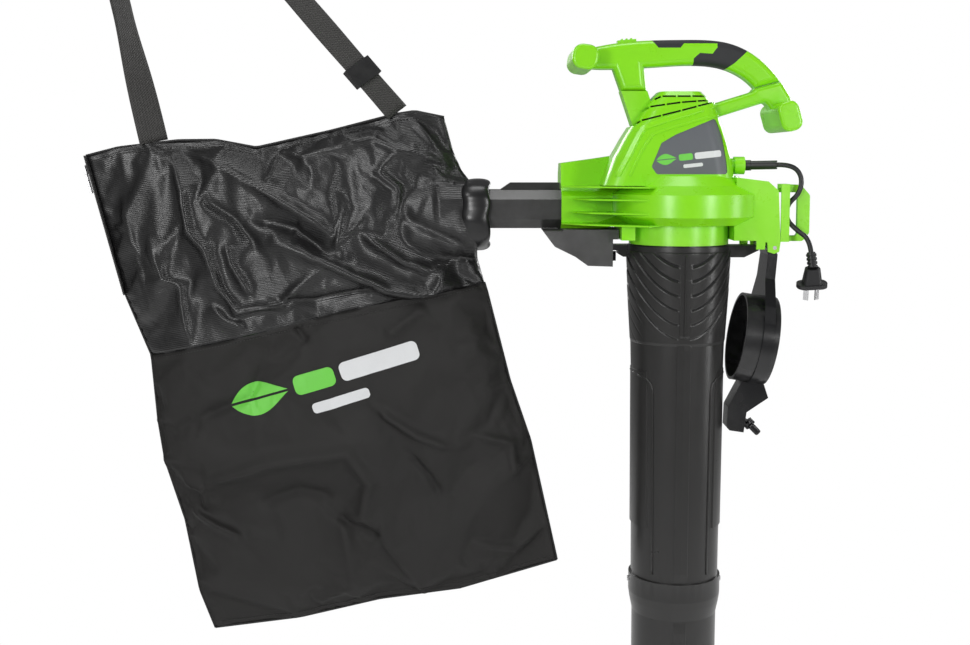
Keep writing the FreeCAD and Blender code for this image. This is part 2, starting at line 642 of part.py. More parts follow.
def flank_rib(side):
    """The raised panel down each flank of the upper tube."""
    panel = revolve([(58.4, -407), (60.6, -407), (59.4, -612), (57.0, -612)])
    wedge = plate_z([(0, -34), (80, -46), (80, 46), (0, 34)], -640, -380)
    panel = panel.common(wedge if side > 0 else turned(wedge, (0, 0, 0), (0, 0, 1), 180))
    core = revolve([(0.5, -400), (59.2, -400), (58.6, -460), (57.4, -620), (0.5, -620)])
    return panel.cut(core)


def plate_z(points, z0, z1):
    return Part.Face(closed_wire([V(x, y, z0) for x, y in points])).extrude(V(0, 0, z1 - z0))


def make_lower_tube():
    """The lower tube: a socket that grips the upper tube's end, then a straight tube to the mouth."""
    socket_r = 57.3
    z = TUBE_JOINT_Z
    profile = [(socket_r, z + 10), (60.2, z + 10), (60.2, z - 14), (LOWER_TUBE_R + 3.3, z - 24),
               (LOWER_TUBE_R, z - 40), (LOWER_TUBE_R - 1.0, TUBE_MOUTH_Z),
               (LOWER_TUBE_R - 1.0 - TUBE_WALL, TUBE_MOUTH_Z),
               (LOWER_TUBE_R - 1.0 - TUBE_WALL, z - 36), (socket_r, z - 20.5)]
    tube = revolve(profile)
    for screw_solid in tube_screw_solids():
        tube = tube.cut(screw_solid)
    node("lower_tube", tube)
    node("tube_screws", Part.makeCompound(tube_screw_solids()))


def tube_screw_solids():
    """The two screws that pin the tubes together, one on each flank."""
    solids = []
    for side in (-1, 1):
        shank = cylinder(1.8, (side * 55.0, 0, TUBE_JOINT_Z), (side * 61.0, 0, TUBE_JOINT_Z))
        head = cylinder(3.4, (side * 60.0, 0, TUBE_JOINT_Z), (side * 62.0, 0, TUBE_JOINT_Z))
        solids.append(shank.fuse(head))
    return solids


def make_tube_knob():
    """The hand screw that clamps the tube's ear up into the lock bracket: a lobed knob on a steel stud."""
    top = -255.5
    bottom = -268.0
    stud = upright(3.0, -262, -233, LATCH_X, LATCH_Y)
    solids = [upright(11.5, bottom, top, LATCH_X, LATCH_Y)]
    for i in range(6):
        angle = math.radians(60 * i)
        solids.append(upright(3.0, bottom, top, LATCH_X + 11 * math.cos(angle), LATCH_Y + 11 * math.sin(angle)))
    node("tube_knob", fuse_all(solids).cut(stud))
    node("tube_knob_stud", stud)


def make_lock_bracket(casing_outer):
    """The black interlock housing under the duct: it takes the tube's ear and its hand screw."""
    outline = in_front_plane([(-177, -227.5), (-162, -247.5), (-136, -260.3), (-119.7, -271.9), (-87.7, -273),
                              (-87.7, -238), (-80.5, -238), (-80.5, -225.5), (-152, -225.5), (-152, -227.5)])
    body = plate_y(closed_wire(outline), -28, 46)
    pocket = box(-117, -84, -25, 43, -280, -244)
    way_in = box(-120, -80, -8, 30, -280, -244)
    wedge_hollow = plate_y(closed_wire(in_front_plane([(-168, -231.5), (-158, -244), (-134, -256.5),
                                                       (-121, -265),
                                                       (-121, -231.5)])), -25, 43)
    stud_hole = upright(3.3, -260, -231, LATCH_X, LATCH_Y)
    switch_pocket = box(-118, -100, 2, 20, -240, -220)
    plunger_hole = upright(2.4, -250, -235, PLUNGER_X, PLUNGER_Y)
    body = body.cut(pocket).cut(way_in).cut(wedge_hollow).cut(stud_hole).cut(switch_pocket).cut(plunger_hole)
    body = body.cut(casing_outer).cut(box(-90, -70, -30, 50, -238, -220).common(upright(66, -300, -200)))
    node("lock_bracket", body)
    switch = box(-117.8, -100.2, 2.2, 19.8, -239.8, -230)
    node("interlock_switch", switch.cut(upright(2.4, -250, -233, PLUNGER_X, PLUNGER_Y)))
    node("interlock_plunger", upright(2.3, -246.1, -236.0, PLUNGER_X, PLUNGER_Y))


# ---- Intake cover -----------------------------------------------------------
def on_cover(solid):
    """Places a shape drawn about the cover's own axis, along +X from its tube-side face."""
    placed = solid.copy()
    placed.rotate(V(0, 0, 0), V(0, 1, 0), COVER_TILT)
    placed.translate(V(COVER_X, 0, COVER_Z))
    return placed


def make_cover():
    """The hinged plate that closes the fan's intake: ring, grille, paddle-shaped arm, barrel and foot."""
    bore_r = COVER_R - 5
    bore = cylinder(bore_r, (-1, 0, 0), (COVER_DEPTH + 1, 0, 0))
    plug_ring = cylinder(COVER_R - 1.5, (0, 0, 0), (PADDLE_X0, 0, 0))
    rear_ring = cylinder(COVER_R - 1.0, (PADDLE_X1, 0, 0), (COVER_DEPTH, 0, 0))
    node("cover_ring", on_cover(Part.makeCompound([plug_ring.cut(bore), rear_ring.cut(bore)])))
    bars = [box(22, 25.2, i * 9.6 - 1.5, i * 9.6 + 1.5, -60, 60) for i in range(-5, 6)]
    bars.append(box(22, 25.2, -60, 60, -1.5, 1.5))
    disc = cylinder(bore_r, (22, 0, 0), (25.2, 0, 0))
    node("cover_grille", on_cover(fuse_all([bar.common(disc) for bar in bars])))

    disc = cylinder(COVER_R + 0.5, (PADDLE_X0, 0, 0), (PADDLE_X1, 0, 0))

    def section(height, x0, x1, half_width):
        return closed_wire([V(x0, -half_width, height), V(x1, -half_width, height), V(x1, half_width, height),
                            V(x0, half_width, height)])

    blade = loft([section(18, PADDLE_X0, PADDLE_X1, 56), section(48, 20, 34, 46), section(82, 18.5, 31.5, 25),
                  section(114, 17, 29.5, 23)])
    paddle = on_cover(disc.fuse(blade).cut(bore))
    neck = plate_y(closed_wire(in_front_plane([(107.8, HINGE_Z), (119.2, HINGE_Z), (124.5, -258),
                                               (112.0, -258)])), -23, 23)
    barrel = cylinder(6.0, (HINGE_X, -45, HINGE_Z), (HINGE_X, 45, HINGE_Z))
    foot_side = [(112, -428), (84, -424), (80.5, -429), (65.6, -458), (64.6, -485), (68.2, -489),
                 (86.7, -491.7),
                 (90.1, -465), (118, -446)]
    foot = plate_y(closed_wire(in_front_plane(foot_side)), -15, 15)
    whole_ring = on_cover(cylinder(COVER_R - 1.0, (-1, 0, 0), (PADDLE_X0, 0, 0)).fuse(
        cylinder(COVER_R - 1.0, (PADDLE_X1, 0, 0), (COVER_DEPTH + 5, 0, 0))).fuse(bore))
    pin_bore = cylinder(HINGE_PIN_R + 0.05, (HINGE_X, -60, HINGE_Z), (HINGE_X, 60, HINGE_Z))
    stud_hole = cylinder(2.6, KNOB_START, KNOB_END)
    cover = fuse_all([paddle, neck, barrel, foot.cut(whole_ring)]).cut(pin_bore).cut(stud_hole)
    cover = cover.cut(NODES["cover_ring"])
    node("cover_arm", cover)
    node("cover_hinge_pin", cylinder(HINGE_PIN_R, (HINGE_X, -53.8, HINGE_Z), (HINGE_X, 53.8, HINGE_Z)))


def make_cover_knob():
    """The wing screw in the cover's foot."""
    axis = (V(*KNOB_END) - V(*KNOB_START)).normalize()
    start = V(*KNOB_START)
    stud = cylinder(2.5, start + axis * 2, start + axis * 27)
    head = cylinder(7.5, start + axis * 21, start + axis * 28)
    wing = box(0, 17, -12, 12, -4.5, 4.5)
    wing = wing.makeFillet(3.0, wing.Edges)
    wing.translate(V(24, 0, 0))
    wing.rotate(V(0, 0, 0), V(0, 1, 0), 45)
    wing.translate(start)
    node("cover_knob", fuse_all([stud, head, wing]))


# ---- Bag tube, bag and strap ------------------------------------------------
def make_bag_tube():
    outer = octagon_tube(0, BAG_TUBE_END_X, DUCT_END_X + SOCKET_DEPTH - 2)
    inner = octagon_tube(-BAG_TUBE_WALL, BAG_TUBE_END_X - 1, DUCT_END_X + SOCKET_DEPTH)
    top = BAG_TUBE_Z + BAG_TUBE_HALF_HEIGHT
    ridge_side = [(-232, top), (-218, top + 9.5), (DUCT_END_X - 1, top + 9.5), (DUCT_END_X - 1, top)]
    ridge = plate_y(closed_wire(in_front_plane(ridge_side)), DUCT_Y - 9, DUCT_Y + 9)
    node("bag_tube", outer.cut(inner).fuse(ridge))
    collar = octagon_tube(7, -262, -246).cut(octagon_tube(0, -270, -240))
    node("bag_collar", collar)


def bag_solid(inset):
    wire = closed_wire(in_front_plane(BAG_OUTLINE))
    if inset:
        wire = wire.makeOffset2D(-inset)
    thick_top = 45.0 - inset
    thick_bottom = 16.0 - inset
    side = [(BAG_Y - thick_top, -60), (BAG_Y + thick_top, -60), (BAG_Y + thick_top, -270),
            (BAG_Y + thick_bottom, -790), (BAG_Y - thick_bottom, -790), (BAG_Y - thick_top, -270)]
    return plate_y(wire, BAG_Y - 60, BAG_Y + 60).common(plate_x(closed_wire(in_side_plane(side)), -900, 0))


def make_bag():
    shell = bag_solid(0).cut(bag_solid(BAG_WALL)).cut(octagon_tube(0, -320, -240))
    shell = shell.cut(octagon_tube(7, -262, -240))
    (x0, z0), (x1, z1) = SEAM
    slope = (z1 - z0) / (x1 - x0)
    low = z0 + slope * (-1000 - x0)
    high = z0 + slope * (0 - x0)
    upper = plate_y(closed_wire(in_front_plane([(-1000, low), (0, high), (0, 100), (-1000, 100)])), -100, 200)
    node("bag_upper", shell.common(upper))
    node("bag_lower", shell.cut(upper))
    tape = [(-783, -131), (-735, -317), (-738.5, -318), (-786.5, -131.5)]
    node("zipper_tape", plate_y(closed_wire(in_front_plane(tape)), BAG_Y - 8, BAG_Y + 8))


def make_zip_puller():
    """The metal slider and its tab, near the top of the zip."""
    lean = math.degrees(math.atan2(ZIP_BOTTOM[0] - ZIP_TOP[0], ZIP_TOP[1] - ZIP_BOTTOM[1]))
    slider = box(-7.2, -4.0, -5.5, 5.5, -24, -12)
    tab = box(-7.0, -5.0, -3.5, 3.5, -50, -23)
    puller = slider.fuse(tab)
    puller.rotate(V(0, 0, 0), V(0, 1, 0), -lean)
    puller.translate(V(ZIP_TOP[0], BAG_Y, ZIP_TOP[1]))
    node("zip_puller", puller)


def ribbon(stations):
    """A webbing strip: each station is (x, z, direction of the run in degrees, twist in degrees)."""
    wires = []
    for x, z, heading, twist in stations:
        run = V(math.cos(math.radians(heading)), 0, math.sin(math.radians(heading)))
        flat = V(-run.z, 0, run.x)
        depth = V(0, 1, 0)
        turn = math.radians(twist)
        across = flat * math.cos(turn) + depth * math.sin(turn)
        through = flat * -math.sin(turn) + depth * math.cos(turn)
        centre = V(x, BAG_Y, z)
        half_w = across * (STRAP_WIDTH / 2)
        half_t = through * (STRAP_THICKNESS / 2)
        wires.append(closed_wire([centre - half_w - half_t, centre + half_w - half_t, centre + half_w + half_t,
                                  centre - half_w + half_t]))
    return loft(wires)


def make_strap():
    """The shoulder strap: two runs that twist edge-on as they rise, and the bend over the shoulder."""
    top = V(STRAP_TOP_X, 0, STRAP_TOP_Z - STRAP_TOP_R)
    runs = {}
    for name, foot, side, twists in (("left", STRAP_LEFT, -1, (-25, -62, -85, -90)),
                                     ("right", STRAP_RIGHT, 1, (-40, -40, -75, -90))):
        start = V(foot[0], 0, foot[1])
        span = top - start
        reach = math.asin(STRAP_TOP_R / span.Length)
        heading = math.atan2(span.z, span.x) - side * reach
        length = span.Length * math.cos(reach)
        runs[name] = (start, heading, length)
        stations = []
        for share, twist in zip((0.0, 0.36, 0.7, 1.0), twists):
            x = start.x + length * share * math.cos(heading)
            z = start.z + length * share * math.sin(heading)
            stations.append((x, z, math.degrees(heading), twist))
        node("strap_" + name, ribbon(stations).cut(bag_solid(0)))
    outer = cylinder(STRAP_TOP_R + STRAP_THICKNESS / 2, (top.x, BAG_Y - STRAP_WIDTH / 2, top.z),
                     (top.x, BAG_Y + STRAP_WIDTH / 2, top.z))
    inner = cylinder(STRAP_TOP_R - STRAP_THICKNESS / 2, (top.x, BAG_Y - 50, top.z), (top.x, BAG_Y + 50, top.z))
    ends = []
    for name in ("left", "right"):
        start, heading, length = runs[name]
        ends.append(V(start.x + length * math.cos(heading), 0, start.z + length * math.sin(heading)))
    far = top + (ends[0] - top) * 4
    near = top + (ends[1] - top) * 4
    crown = V(top.x + 10, 0, top.z + 300)
    sector = plate_y(closed_wire([V(top.x, 0, top.z), near, V(near.x, 0, crown.z),
                                  V(far.x, 0, crown.z), far]), -50, 150)
    node("strap_top", outer.cut(inner).common(sector))
    return runs


def make_strap_buckle(runs):
    """The sliding adjuster on the right-hand run: a frame with a middle bar round the webbing."""
    start, heading, length = runs["right"]
    frame = box(-14, 14, -4, 4, -23, 23).cut(box(-15, 15, -1.6, 1.6, -20, 20))
    place = start + V(math.cos(heading), 0, math.sin(heading)) * 70
    frame.rotate(V(0, 0, 0), V(1, 0, 0), BUCKLE_TWIST)
    frame.rotate(V(0, 0, 0), V(0, 1, 0), -math.degrees(heading))
    frame.translate(V(place.x, BAG_Y, place.z))
    node("strap_buckle", frame)


# ---- Mains lead and plug ----------------------------------------------------


def swept_route(points, diameter):
    """A tube along straight runs joined by tangent arcs. Each arc is as large as its two runs allow."""
    edges = []
    radii = []
    here = V(*points[0])
    for i in range(1, len(points) - 1):
        corner = V(*points[i])
        back = V(*points[i - 1]) - corner
        ahead = V(*points[i + 1]) - corner
        turn = math.pi - back.getAngle(ahead)
        reach = 0.45 * min(back.Length, ahead.Length)
        radius = reach / math.tan(turn / 2)
        radii.append(radius)
        back.normalize()
        ahead.normalize()
        start = corner + back * reach
        end = corner + ahead * reach
        way = (back + ahead).normalize()
        centre = corner + way * (radius / math.cos(turn / 2))
        edges.append(Part.makeLine(here, start))
        edges.append(Part.Arc(start, centre - way * radius, end).toShape())
        here = end
    edges.append(Part.makeLine(here, V(*points[-1])))
    path = Part.Wire(edges)
    first = V(*points[1]) - V(*points[0])
    section = Part.Wire([Part.makeCircle(diameter / 2, V(*points[0]), first)])
    tube = path.makePipeShell([section], True, True)
    return tube, path.Length, radii


def make_mains_lead():
    gland = cylinder(11.2, (66, GLAND_Y, GLAND_Z), (79, GLAND_Y, GLAND_Z))
    stem = cylinder(8.9, (55, GLAND_Y, GLAND_Z), (67, GLAND_Y, GLAND_Z))
    boot_start = V(74.0, GLAND_Y, GLAND_Z)
    boot_end = V(*BOOT_END)
    boot = cylinder(5.6, boot_start, boot_end)
    node("cord_gland", gland.fuse(stem).cut(boot))
    boot = boot.fuse(cylinder(6.6, boot_start + (boot_end - boot_start) * 0.15,
                              boot_start + (boot_end - boot_start) * 0.3))
    node("cord_boot", boot.cut(NODES["cord_gland"]))
    tube, length, radii = swept_route(CORD_ROUTE, CORD_DIAMETER)
    node("mains_lead", tube)
    print("mains lead length", round(length, 1), "radii", [round(r, 1) for r in radii])
    print("volume over section times length",
          round(tube.Volume / (math.pi * CORD_DIAMETER ** 2 / 4 * length), 4))


def make_plug():
    """A two-pin plug with an oval flange. It hangs on the end of the lead, pins down."""
    top = V(*CORD_ROUTE[-1])
    way = PLUG_WAY
    relief = [cylinder(5.2, top, top + way * 20)]
    for i in range(4):
        relief.append(cylinder(6.4, top + way * (2 + i * 5), top + way * (4.5 + i * 5)))
    body = rounded_wire([V(-9, -7, 0), V(9, -7, 0), V(9, 7, 0), V(-9, 7, 0)], 5)
    wide = rounded_wire([V(-12, -9.5, -20), V(12, -9.5, -20), V(12, 9.5, -20), V(-12, 9.5, -20)], 6)
    flange = rounded_wire([V(-19, -11.3, -20), V(19, -11.3, -20), V(19, 11.3, -20), V(-19, 11.3, -20)], 11)
    shape = loft([body, wide]).fuse(Part.Face(flange).extrude(V(0, 0, -5)))
    pins = []
    for side in (-1, 1):
        pin = box(-3.15, 3.15, -0.8, 0.8, -43, -25)
        pin.rotate(V(0, 0, 0), V(0, 0, 1), side * 30)
        pin.translate(V(side * 6.9, 0, 0))
        pins.append(pin)
    end = top + way * 20
    for name, solid in (("plug_body", shape), ("plug_pins", Part.makeCompound(pins))):
        solid.rotate(V(0, 0, 0), V(1, 0, 0), math.degrees(math.atan2(way.y, way.z)) + 180)
        solid.rotate(V(0, 0, 0), V(0, 1, 0), -math.degrees(math.asin(way.x)))
        solid.translate(end)
        node(name, solid)
    node("plug_relief", fuse_all(relief).cut(shape))


# ---- Fasteners --------------------------------------------------------------


def screw_boss(x, z, half_depth):
    return cylinder(4.6, (x, -half_depth + 0.5, z), (x, half_depth - 0.5, z))


def screw_hole(x, z, half_depth):
    """A clearance hole from the rear, with a counterbore for the head, that ends inside the front half."""
    shank = cylinder(SCREW_R, (x, -8, z), (x, half_depth, z))
    return shank.fuse(cylinder(3.6, (x, half_depth - 4, z), (x, half_depth + 5, z)))


def screw(x, z, half_depth):
    shank = cylinder(SCREW_R, (x, -8, z), (x, half_depth - 4, z))
    head = cylinder(3.4, (x, half_depth - 4, z), (x, half_depth - 1.6, z))
    cross = box(x - 2, x + 2, half_depth - 2.6, half_depth, z - 0.4, z + 0.4)
    cross = cross.fuse(box(x - 0.4, x + 0.4, half_depth - 2.6, half_depth, z - 2, z + 2))
    return shank.fuse(head).cut(cross)


def make_screws():
    """Cross-head screws, put in from the rear, that hold the front and rear shells together."""
    places = [(x, z, GRIP_HALF_DEPTH) for x, z in HANDLE_SCREWS] + HOUSING_SCREWS
    node("shell_screws", Part.makeCompound([screw(*place) for place in places]))


def main():
    make_handle()
    make_power_slider()
    casing_outer = make_fan_casing()
    make_motor_housing(casing_outer)
    make_intake_flange()
    make_cord_retainer()
    make_motor()
    make_fan()
    make_upper_tube()
    make_lower_tube()
    make_tube_knob()
    make_lock_bracket(casing_outer)
    make_cover()
    make_cover_knob()
    make_bag_tube()
    make_bag()
    make_zip_puller()
    make_strap_buckle(make_strap())
    make_mains_lead()
    make_plug()
    make_screws()
    os.makedirs("parts", exist_ok=True)
    for name, shape in NODES.items():
        shape.exportStep("parts/" + name + ".step")
        print(name, round(shape.Volume), "solids", len(shape.Solids), "valid", shape.isValid())


main()
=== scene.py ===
import math

import bmesh
import bpy
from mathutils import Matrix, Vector, noise
from mathutils.bvhtree import BVHTree


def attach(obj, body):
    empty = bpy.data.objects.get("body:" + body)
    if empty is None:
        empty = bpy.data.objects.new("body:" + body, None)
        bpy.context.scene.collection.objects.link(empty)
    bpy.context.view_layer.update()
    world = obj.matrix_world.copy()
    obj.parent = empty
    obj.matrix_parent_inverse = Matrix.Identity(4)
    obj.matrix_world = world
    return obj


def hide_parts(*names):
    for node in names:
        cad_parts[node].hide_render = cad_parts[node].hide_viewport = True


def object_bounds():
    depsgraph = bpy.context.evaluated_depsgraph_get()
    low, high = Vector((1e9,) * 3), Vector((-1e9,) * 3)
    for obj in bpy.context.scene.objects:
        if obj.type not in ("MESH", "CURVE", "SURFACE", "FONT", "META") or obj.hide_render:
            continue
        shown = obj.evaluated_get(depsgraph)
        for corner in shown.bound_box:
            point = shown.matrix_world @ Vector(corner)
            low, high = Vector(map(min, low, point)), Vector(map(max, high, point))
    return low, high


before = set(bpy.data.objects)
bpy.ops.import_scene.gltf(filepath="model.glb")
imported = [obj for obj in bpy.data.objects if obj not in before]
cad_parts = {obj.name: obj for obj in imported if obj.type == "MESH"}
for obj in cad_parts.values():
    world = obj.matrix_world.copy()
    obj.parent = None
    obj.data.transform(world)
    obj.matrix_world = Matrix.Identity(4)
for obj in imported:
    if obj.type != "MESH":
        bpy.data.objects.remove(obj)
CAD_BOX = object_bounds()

V = Vector
scene = bpy.context.scene


# ---- Camera -----------------------------------------------------------------
CAMERA_PLACE = (-0.2516, -1.625, -0.137)
CAMERA_TILT = 5.2           # degrees below level
CAMERA_LENS = 46.4
CAMERA_SHIFT = -0.05

camera = bpy.data.objects.new("camera", bpy.data.cameras.new("camera"))
scene.collection.objects.link(camera)
scene.camera = camera
camera.location = CAMERA_PLACE
camera.rotation_euler = (math.radians(90 - CAMERA_TILT), 0, 0)
camera.data.lens = CAMERA_LENS
camera.data.sensor_width = 36
camera.data.shift_y = CAMERA_SHIFT


# ---- Mains lead -------------------------------------------------------------
CORD_DIAMETER = 0.0062
CORD_POINTS = [(0.1180, -0.0370, -0.14280), (0.1350, -0.0428, -0.14245), (0.1480, -0.0450, -0.1560),
               (0.1460, -0.0452, -0.1780), (0.1295, -0.0445, -0.1930), (0.1295, -0.0446, -0.2120),
               (0.1420, -0.0485, -0.2250), (0.1551, -0.0609, -0.2358), (0.1560, -0.0660, -0.2520)]


def make_cord():
    curve = bpy.data.curves.new("mains_flex", "CURVE")
    curve.dimensions = "3D"
    # The points' own radius carries the thickness, because the curve's box grows by that radius.
    curve.bevel_depth = 1.0
    curve.bevel_resolution = 6
    curve.resolution_u = 16
    spline = curve.splines.new("NURBS")
    spline.points.add(len(CORD_POINTS) - 1)
    for point, place in zip(spline.points, CORD_POINTS):
        point.co = (*place, 1)
        point.radius = CORD_DIAMETER / 2
    spline.order_u = 3
    spline.use_endpoint_u = True
    piece = bpy.data.objects.new("mains_flex", curve)
    scene.collection.objects.link(piece)
    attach(piece, "power_head")
    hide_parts("mains_lead")
    return piece


flex = make_cord()


# ---- Materials --------------------------------------------------------------
def new_material(name, colour, roughness, **sockets):
    """A Principled material. sockets holds other constant inputs, by name, with _ for a blank."""
    material = bpy.data.materials.new(name)
    material.use_nodes = True
    shader = material.node_tree.nodes["Principled BSDF"]
    shader.inputs["Base Color"].default_value = (*colour, 1)
    shader.inputs["Roughness"].default_value = roughness
    for key, value in sockets.items():
        shader.inputs[key.replace("_", " ")].default_value = value
    return material


def add_node(material, kind, **settings):
    made = material.node_tree.nodes.new(kind)
    for key, value in settings.items():
        if key.startswith("in_"):
            made.inputs[key[3:].replace("_", " ")].default_value = value
        else:
            setattr(made, key, value)
    return made


def link(material, source, target):
    material.node_tree.links.new(source, target)


def shader_of(material):
    return material.node_tree.nodes["Principled BSDF"]


def coordinates(material, kind="Object", scale=(1, 1, 1), turn=(0, 0, 0)):
    place = add_node(material, "ShaderNodeTexCoord")
    mapping = add_node(material, "ShaderNodeMapping")
    mapping.inputs["Scale"].default_value = scale
    mapping.inputs["Rotation"].default_value = turn
    link(material, place.outputs[kind], mapping.inputs["Vector"])
    return mapping.outputs["Vector"]


def noise_node(material, vector, scale, detail=3.0, rough=0.5):
    made = add_node(material, "ShaderNodeTexNoise", in_Scale=scale, in_Detail=detail, in_Roughness=rough)
    link(material, vector, made.inputs["Vector"])
    return made.outputs["Fac"]


def ramp(material, source, low, high):
    """Maps 0..1 to low..high, linearly."""
    made = add_node(material, "ShaderNodeMapRange")
    link(material, source, made.inputs["Value"])
    made.inputs["To Min"].default_value = low
    made.inputs["To Max"].default_value = high
    return made.outputs["Result"]


def band(material, source, start, end):
    """0 below start, 1 above end."""
    made = add_node(material, "ShaderNodeMapRange")
    link(material, source, made.inputs["Value"])
    made.inputs["From Min"].default_value = start
    made.inputs["From Max"].default_value = end
    return made.outputs["Result"]


def wave(material, vector, direction, scale, distortion):
    made = add_node(material, "ShaderNodeTexWave", in_Scale=scale, in_Distortion=distortion, in_Detail=2.0,
                    bands_direction=direction)
    link(material, vector, made.inputs["Vector"])
    return made.outputs["Fac"]


def product(material, first, second):
    made = add_node(material, "ShaderNodeMath", operation="MULTIPLY")
    link(material, first, made.inputs[0])
    link(material, second, made.inputs[1])
    return made.outputs[0]


def mix_colour(material, factor, first, second):
    made = add_node(material, "ShaderNodeMix", data_type="RGBA")
    link(material, factor, made.inputs["Factor"])
    made.inputs[6].default_value = (*first, 1)
    made.inputs[7].default_value = (*second, 1)
    return made.outputs[2]


def bump(material, height, distance, strength=1.0, under=None):
    made = add_node(material, "ShaderNodeBump", in_Distance=distance, in_Strength=strength)
    link(material, height, made.inputs["Height"])
    if under is not None:
        link(material, under, made.inputs["Normal"])
    return made.outputs["Normal"]


def moulded(name, colour, worn, roughness, grain=2200, grain_depth=0.00005, **sockets):
    """Moulded plastic: a fine grain, faint flow in the colour, rougher patches, paler rubbed edges."""
    material = new_material(name, colour, roughness, **sockets)
    shader = shader_of(material)
    place = coordinates(material)
    flow = noise_node(material, place, 9, 4)
    edge = add_node(material, "ShaderNodeNewGeometry").outputs["Pointiness"]
    rubbed = band(material, edge, 0.56, 0.66)
    dirty = product(material, rubbed, noise_node(material, place, 60, 5))
    toned = mix_colour(material, flow, tuple(c * 0.93 for c in colour),
                       tuple(min(1, c * 1.06) for c in colour))
    paler = add_node(material, "ShaderNodeMix", data_type="RGBA")
    link(material, dirty, paler.inputs["Factor"])
    link(material, toned, paler.inputs[6])
    paler.inputs[7].default_value = (*worn, 1)
    link(material, paler.outputs[2], shader.inputs["Base Color"])
    patches = noise_node(material, place, 35, 6, 0.65)
    link(material, ramp(material, patches, roughness - 0.07, roughness + 0.07), shader.inputs["Roughness"])
    fine = bump(material, noise_node(material, place, grain, 2), grain_depth, 0.5)
    link(material, bump(material, patches, 0.0002, 0.25, fine), shader.inputs["Normal"])
    return material


def metal(name, colour, roughness, grain_scale=(300, 300, 30)):
    material = new_material(name, colour, roughness, Metallic=1.0)
    shader = shader_of(material)
    lines = noise_node(material, coordinates(material, scale=grain_scale), 4, 4)
    link(material, ramp(material, lines, roughness - 0.1, roughness + 0.12), shader.inputs["Roughness"])
    link(material, bump(material, lines, 0.0001, 0.4), shader.inputs["Normal"])
    return material


LIME = (0.235, 0.70, 0.006)
SLOT_LOOKS = {
    "lime_shell": moulded("lime_shell", LIME, (0.36, 0.80, 0.08), 0.29, Coat_Weight=0.2, Coat_Roughness=0.2),
    "grip_rubber": moulded("grip_rubber", (0.015, 0.016, 0.018), (0.05, 0.05, 0.05), 0.62, 1400, 0.0002),
    "badge_grey": moulded("badge_grey", (0.115, 0.123, 0.135), (0.2, 0.2, 0.2), 0.42, 3000),
    "tube_plastic": moulded("tube_plastic", (0.020, 0.0195, 0.019), (0.07, 0.07, 0.07), 0.30, 1800, 0.00008),
    "black_plastic": moulded("black_plastic", (0.006, 0.006, 0.007), (0.04, 0.04, 0.04), 0.22, 2600),
    "bracket_plastic": moulded("bracket_plastic", (0.036, 0.035, 0.035), (0.10, 0.10, 0.10), 0.45, 1800,
                               0.0001),
    "fan_plastic": moulded("fan_plastic", (0.03, 0.03, 0.03), (0.1, 0.1, 0.1), 0.45, 1800),
    "plug_plastic": moulded("plug_plastic", (0.012, 0.012, 0.013), (0.05, 0.05, 0.05), 0.38, 2200),
    "cord_rubber": moulded("cord_rubber", (0.014, 0.014, 0.015), (0.05, 0.05, 0.05), 0.42, 1600),
    "steel": metal("steel", (0.62, 0.62, 0.63), 0.28),
    "stator_steel": metal("stator_steel", (0.35, 0.35, 0.36), 0.4, (20, 20, 900)),
    "copper_coil": metal("copper_coil", (0.72, 0.27, 0.11), 0.35, (40, 40, 900)),
    "carbon": moulded("carbon", (0.02, 0.02, 0.02), (0.08, 0.08, 0.08), 0.7, 1500),
    "board": moulded("board", (0.02, 0.12, 0.05), (0.1, 0.3, 0.1), 0.5, 900),
}


def paint_frame():
    """Gives every CAD node its procedural material, by its slot."""
    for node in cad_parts.values():
        for material_slot in node.material_slots:
            base = material_slot.material.name.split(".")[0]
            if base in SLOT_LOOKS:
                material_slot.material = SLOT_LOOKS[base]


paint_frame()
flex.data.materials.append(SLOT_LOOKS["cord_rubber"])


# ---- Making a piece ---------------------------------------------------------
def link_piece(name, mesh, body, material, smooth_faces=True):
    if smooth_faces:
        for polygon in mesh.polygons:
            polygon.use_smooth = True
    mesh.materials.append(material)
    piece = bpy.data.objects.new(name, mesh)
    scene.collection.objects.link(piece)
    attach(piece, body)
    return piece


def mesh_of(name, points, faces):
    mesh = bpy.data.meshes.new(name)
    mesh.from_pydata([tuple(point) for point in points], [], faces)
    mesh.update()
    return mesh


# ---- Bag --------------------------------------------------------------------
BAG_Y = 0.0475              # the bag's middle plane, which is also the bag tube's
FABRIC_THICKNESS = 0.0007
# The bag's edges as seen from the front, in metres (x, z): each runs from the top or from the left.
TOP_EDGE = [(-0.783, -0.131), (-0.740, -0.120), (-0.660, -0.1105), (-0.610, -0.110), (-0.556, -0.120),
            (-0.457, -0.098), (-0.371, -0.076), (-0.345, -0.072), (-0.306, -0.080)]
LEFT_UPPER = [(-0.783, -0.131), (-0.761, -0.218), (-0.735, -0.317), (-0.702, -0.399)]
RIGHT_UPPER = [(-0.306, -0.080), (-0.294, -0.125), (-0.283, -0.150), (-0.266, -0.172), (-0.262, -0.200),
               (-0.262, -0.240), (-0.262, -0.266), (-0.2525, -0.300)]
SEAM_EDGE = [(-0.702, -0.399), (-0.2525, -0.300)]
LEFT_LOWER = [(-0.702, -0.399), (-0.695, -0.488), (-0.687, -0.543), (-0.661, -0.626), (-0.643, -0.725),
              (-0.623, -0.778)]
RIGHT_LOWER = [(-0.2525, -0.300), (-0.249, -0.311), (-0.218, -0.433), (-0.190, -0.515), (-0.153, -0.682)]
BOTTOM_EDGE = [(-0.623, -0.778), (-0.506, -0.763), (-0.396, -0.737), (-0.286, -0.722), (-0.153, -0.682)]
TUBE_CLEAR_X = -0.335
TUBE_MIDDLE_Z = -0.201
HALF_DEPTH = 0.032          # the bag's half thickness at its fullest
MOUTH_HALF_DEPTH = 0.046
LEAST_GAP = 0.0012          # the cloth's two sides stay at least this far from the middle plane
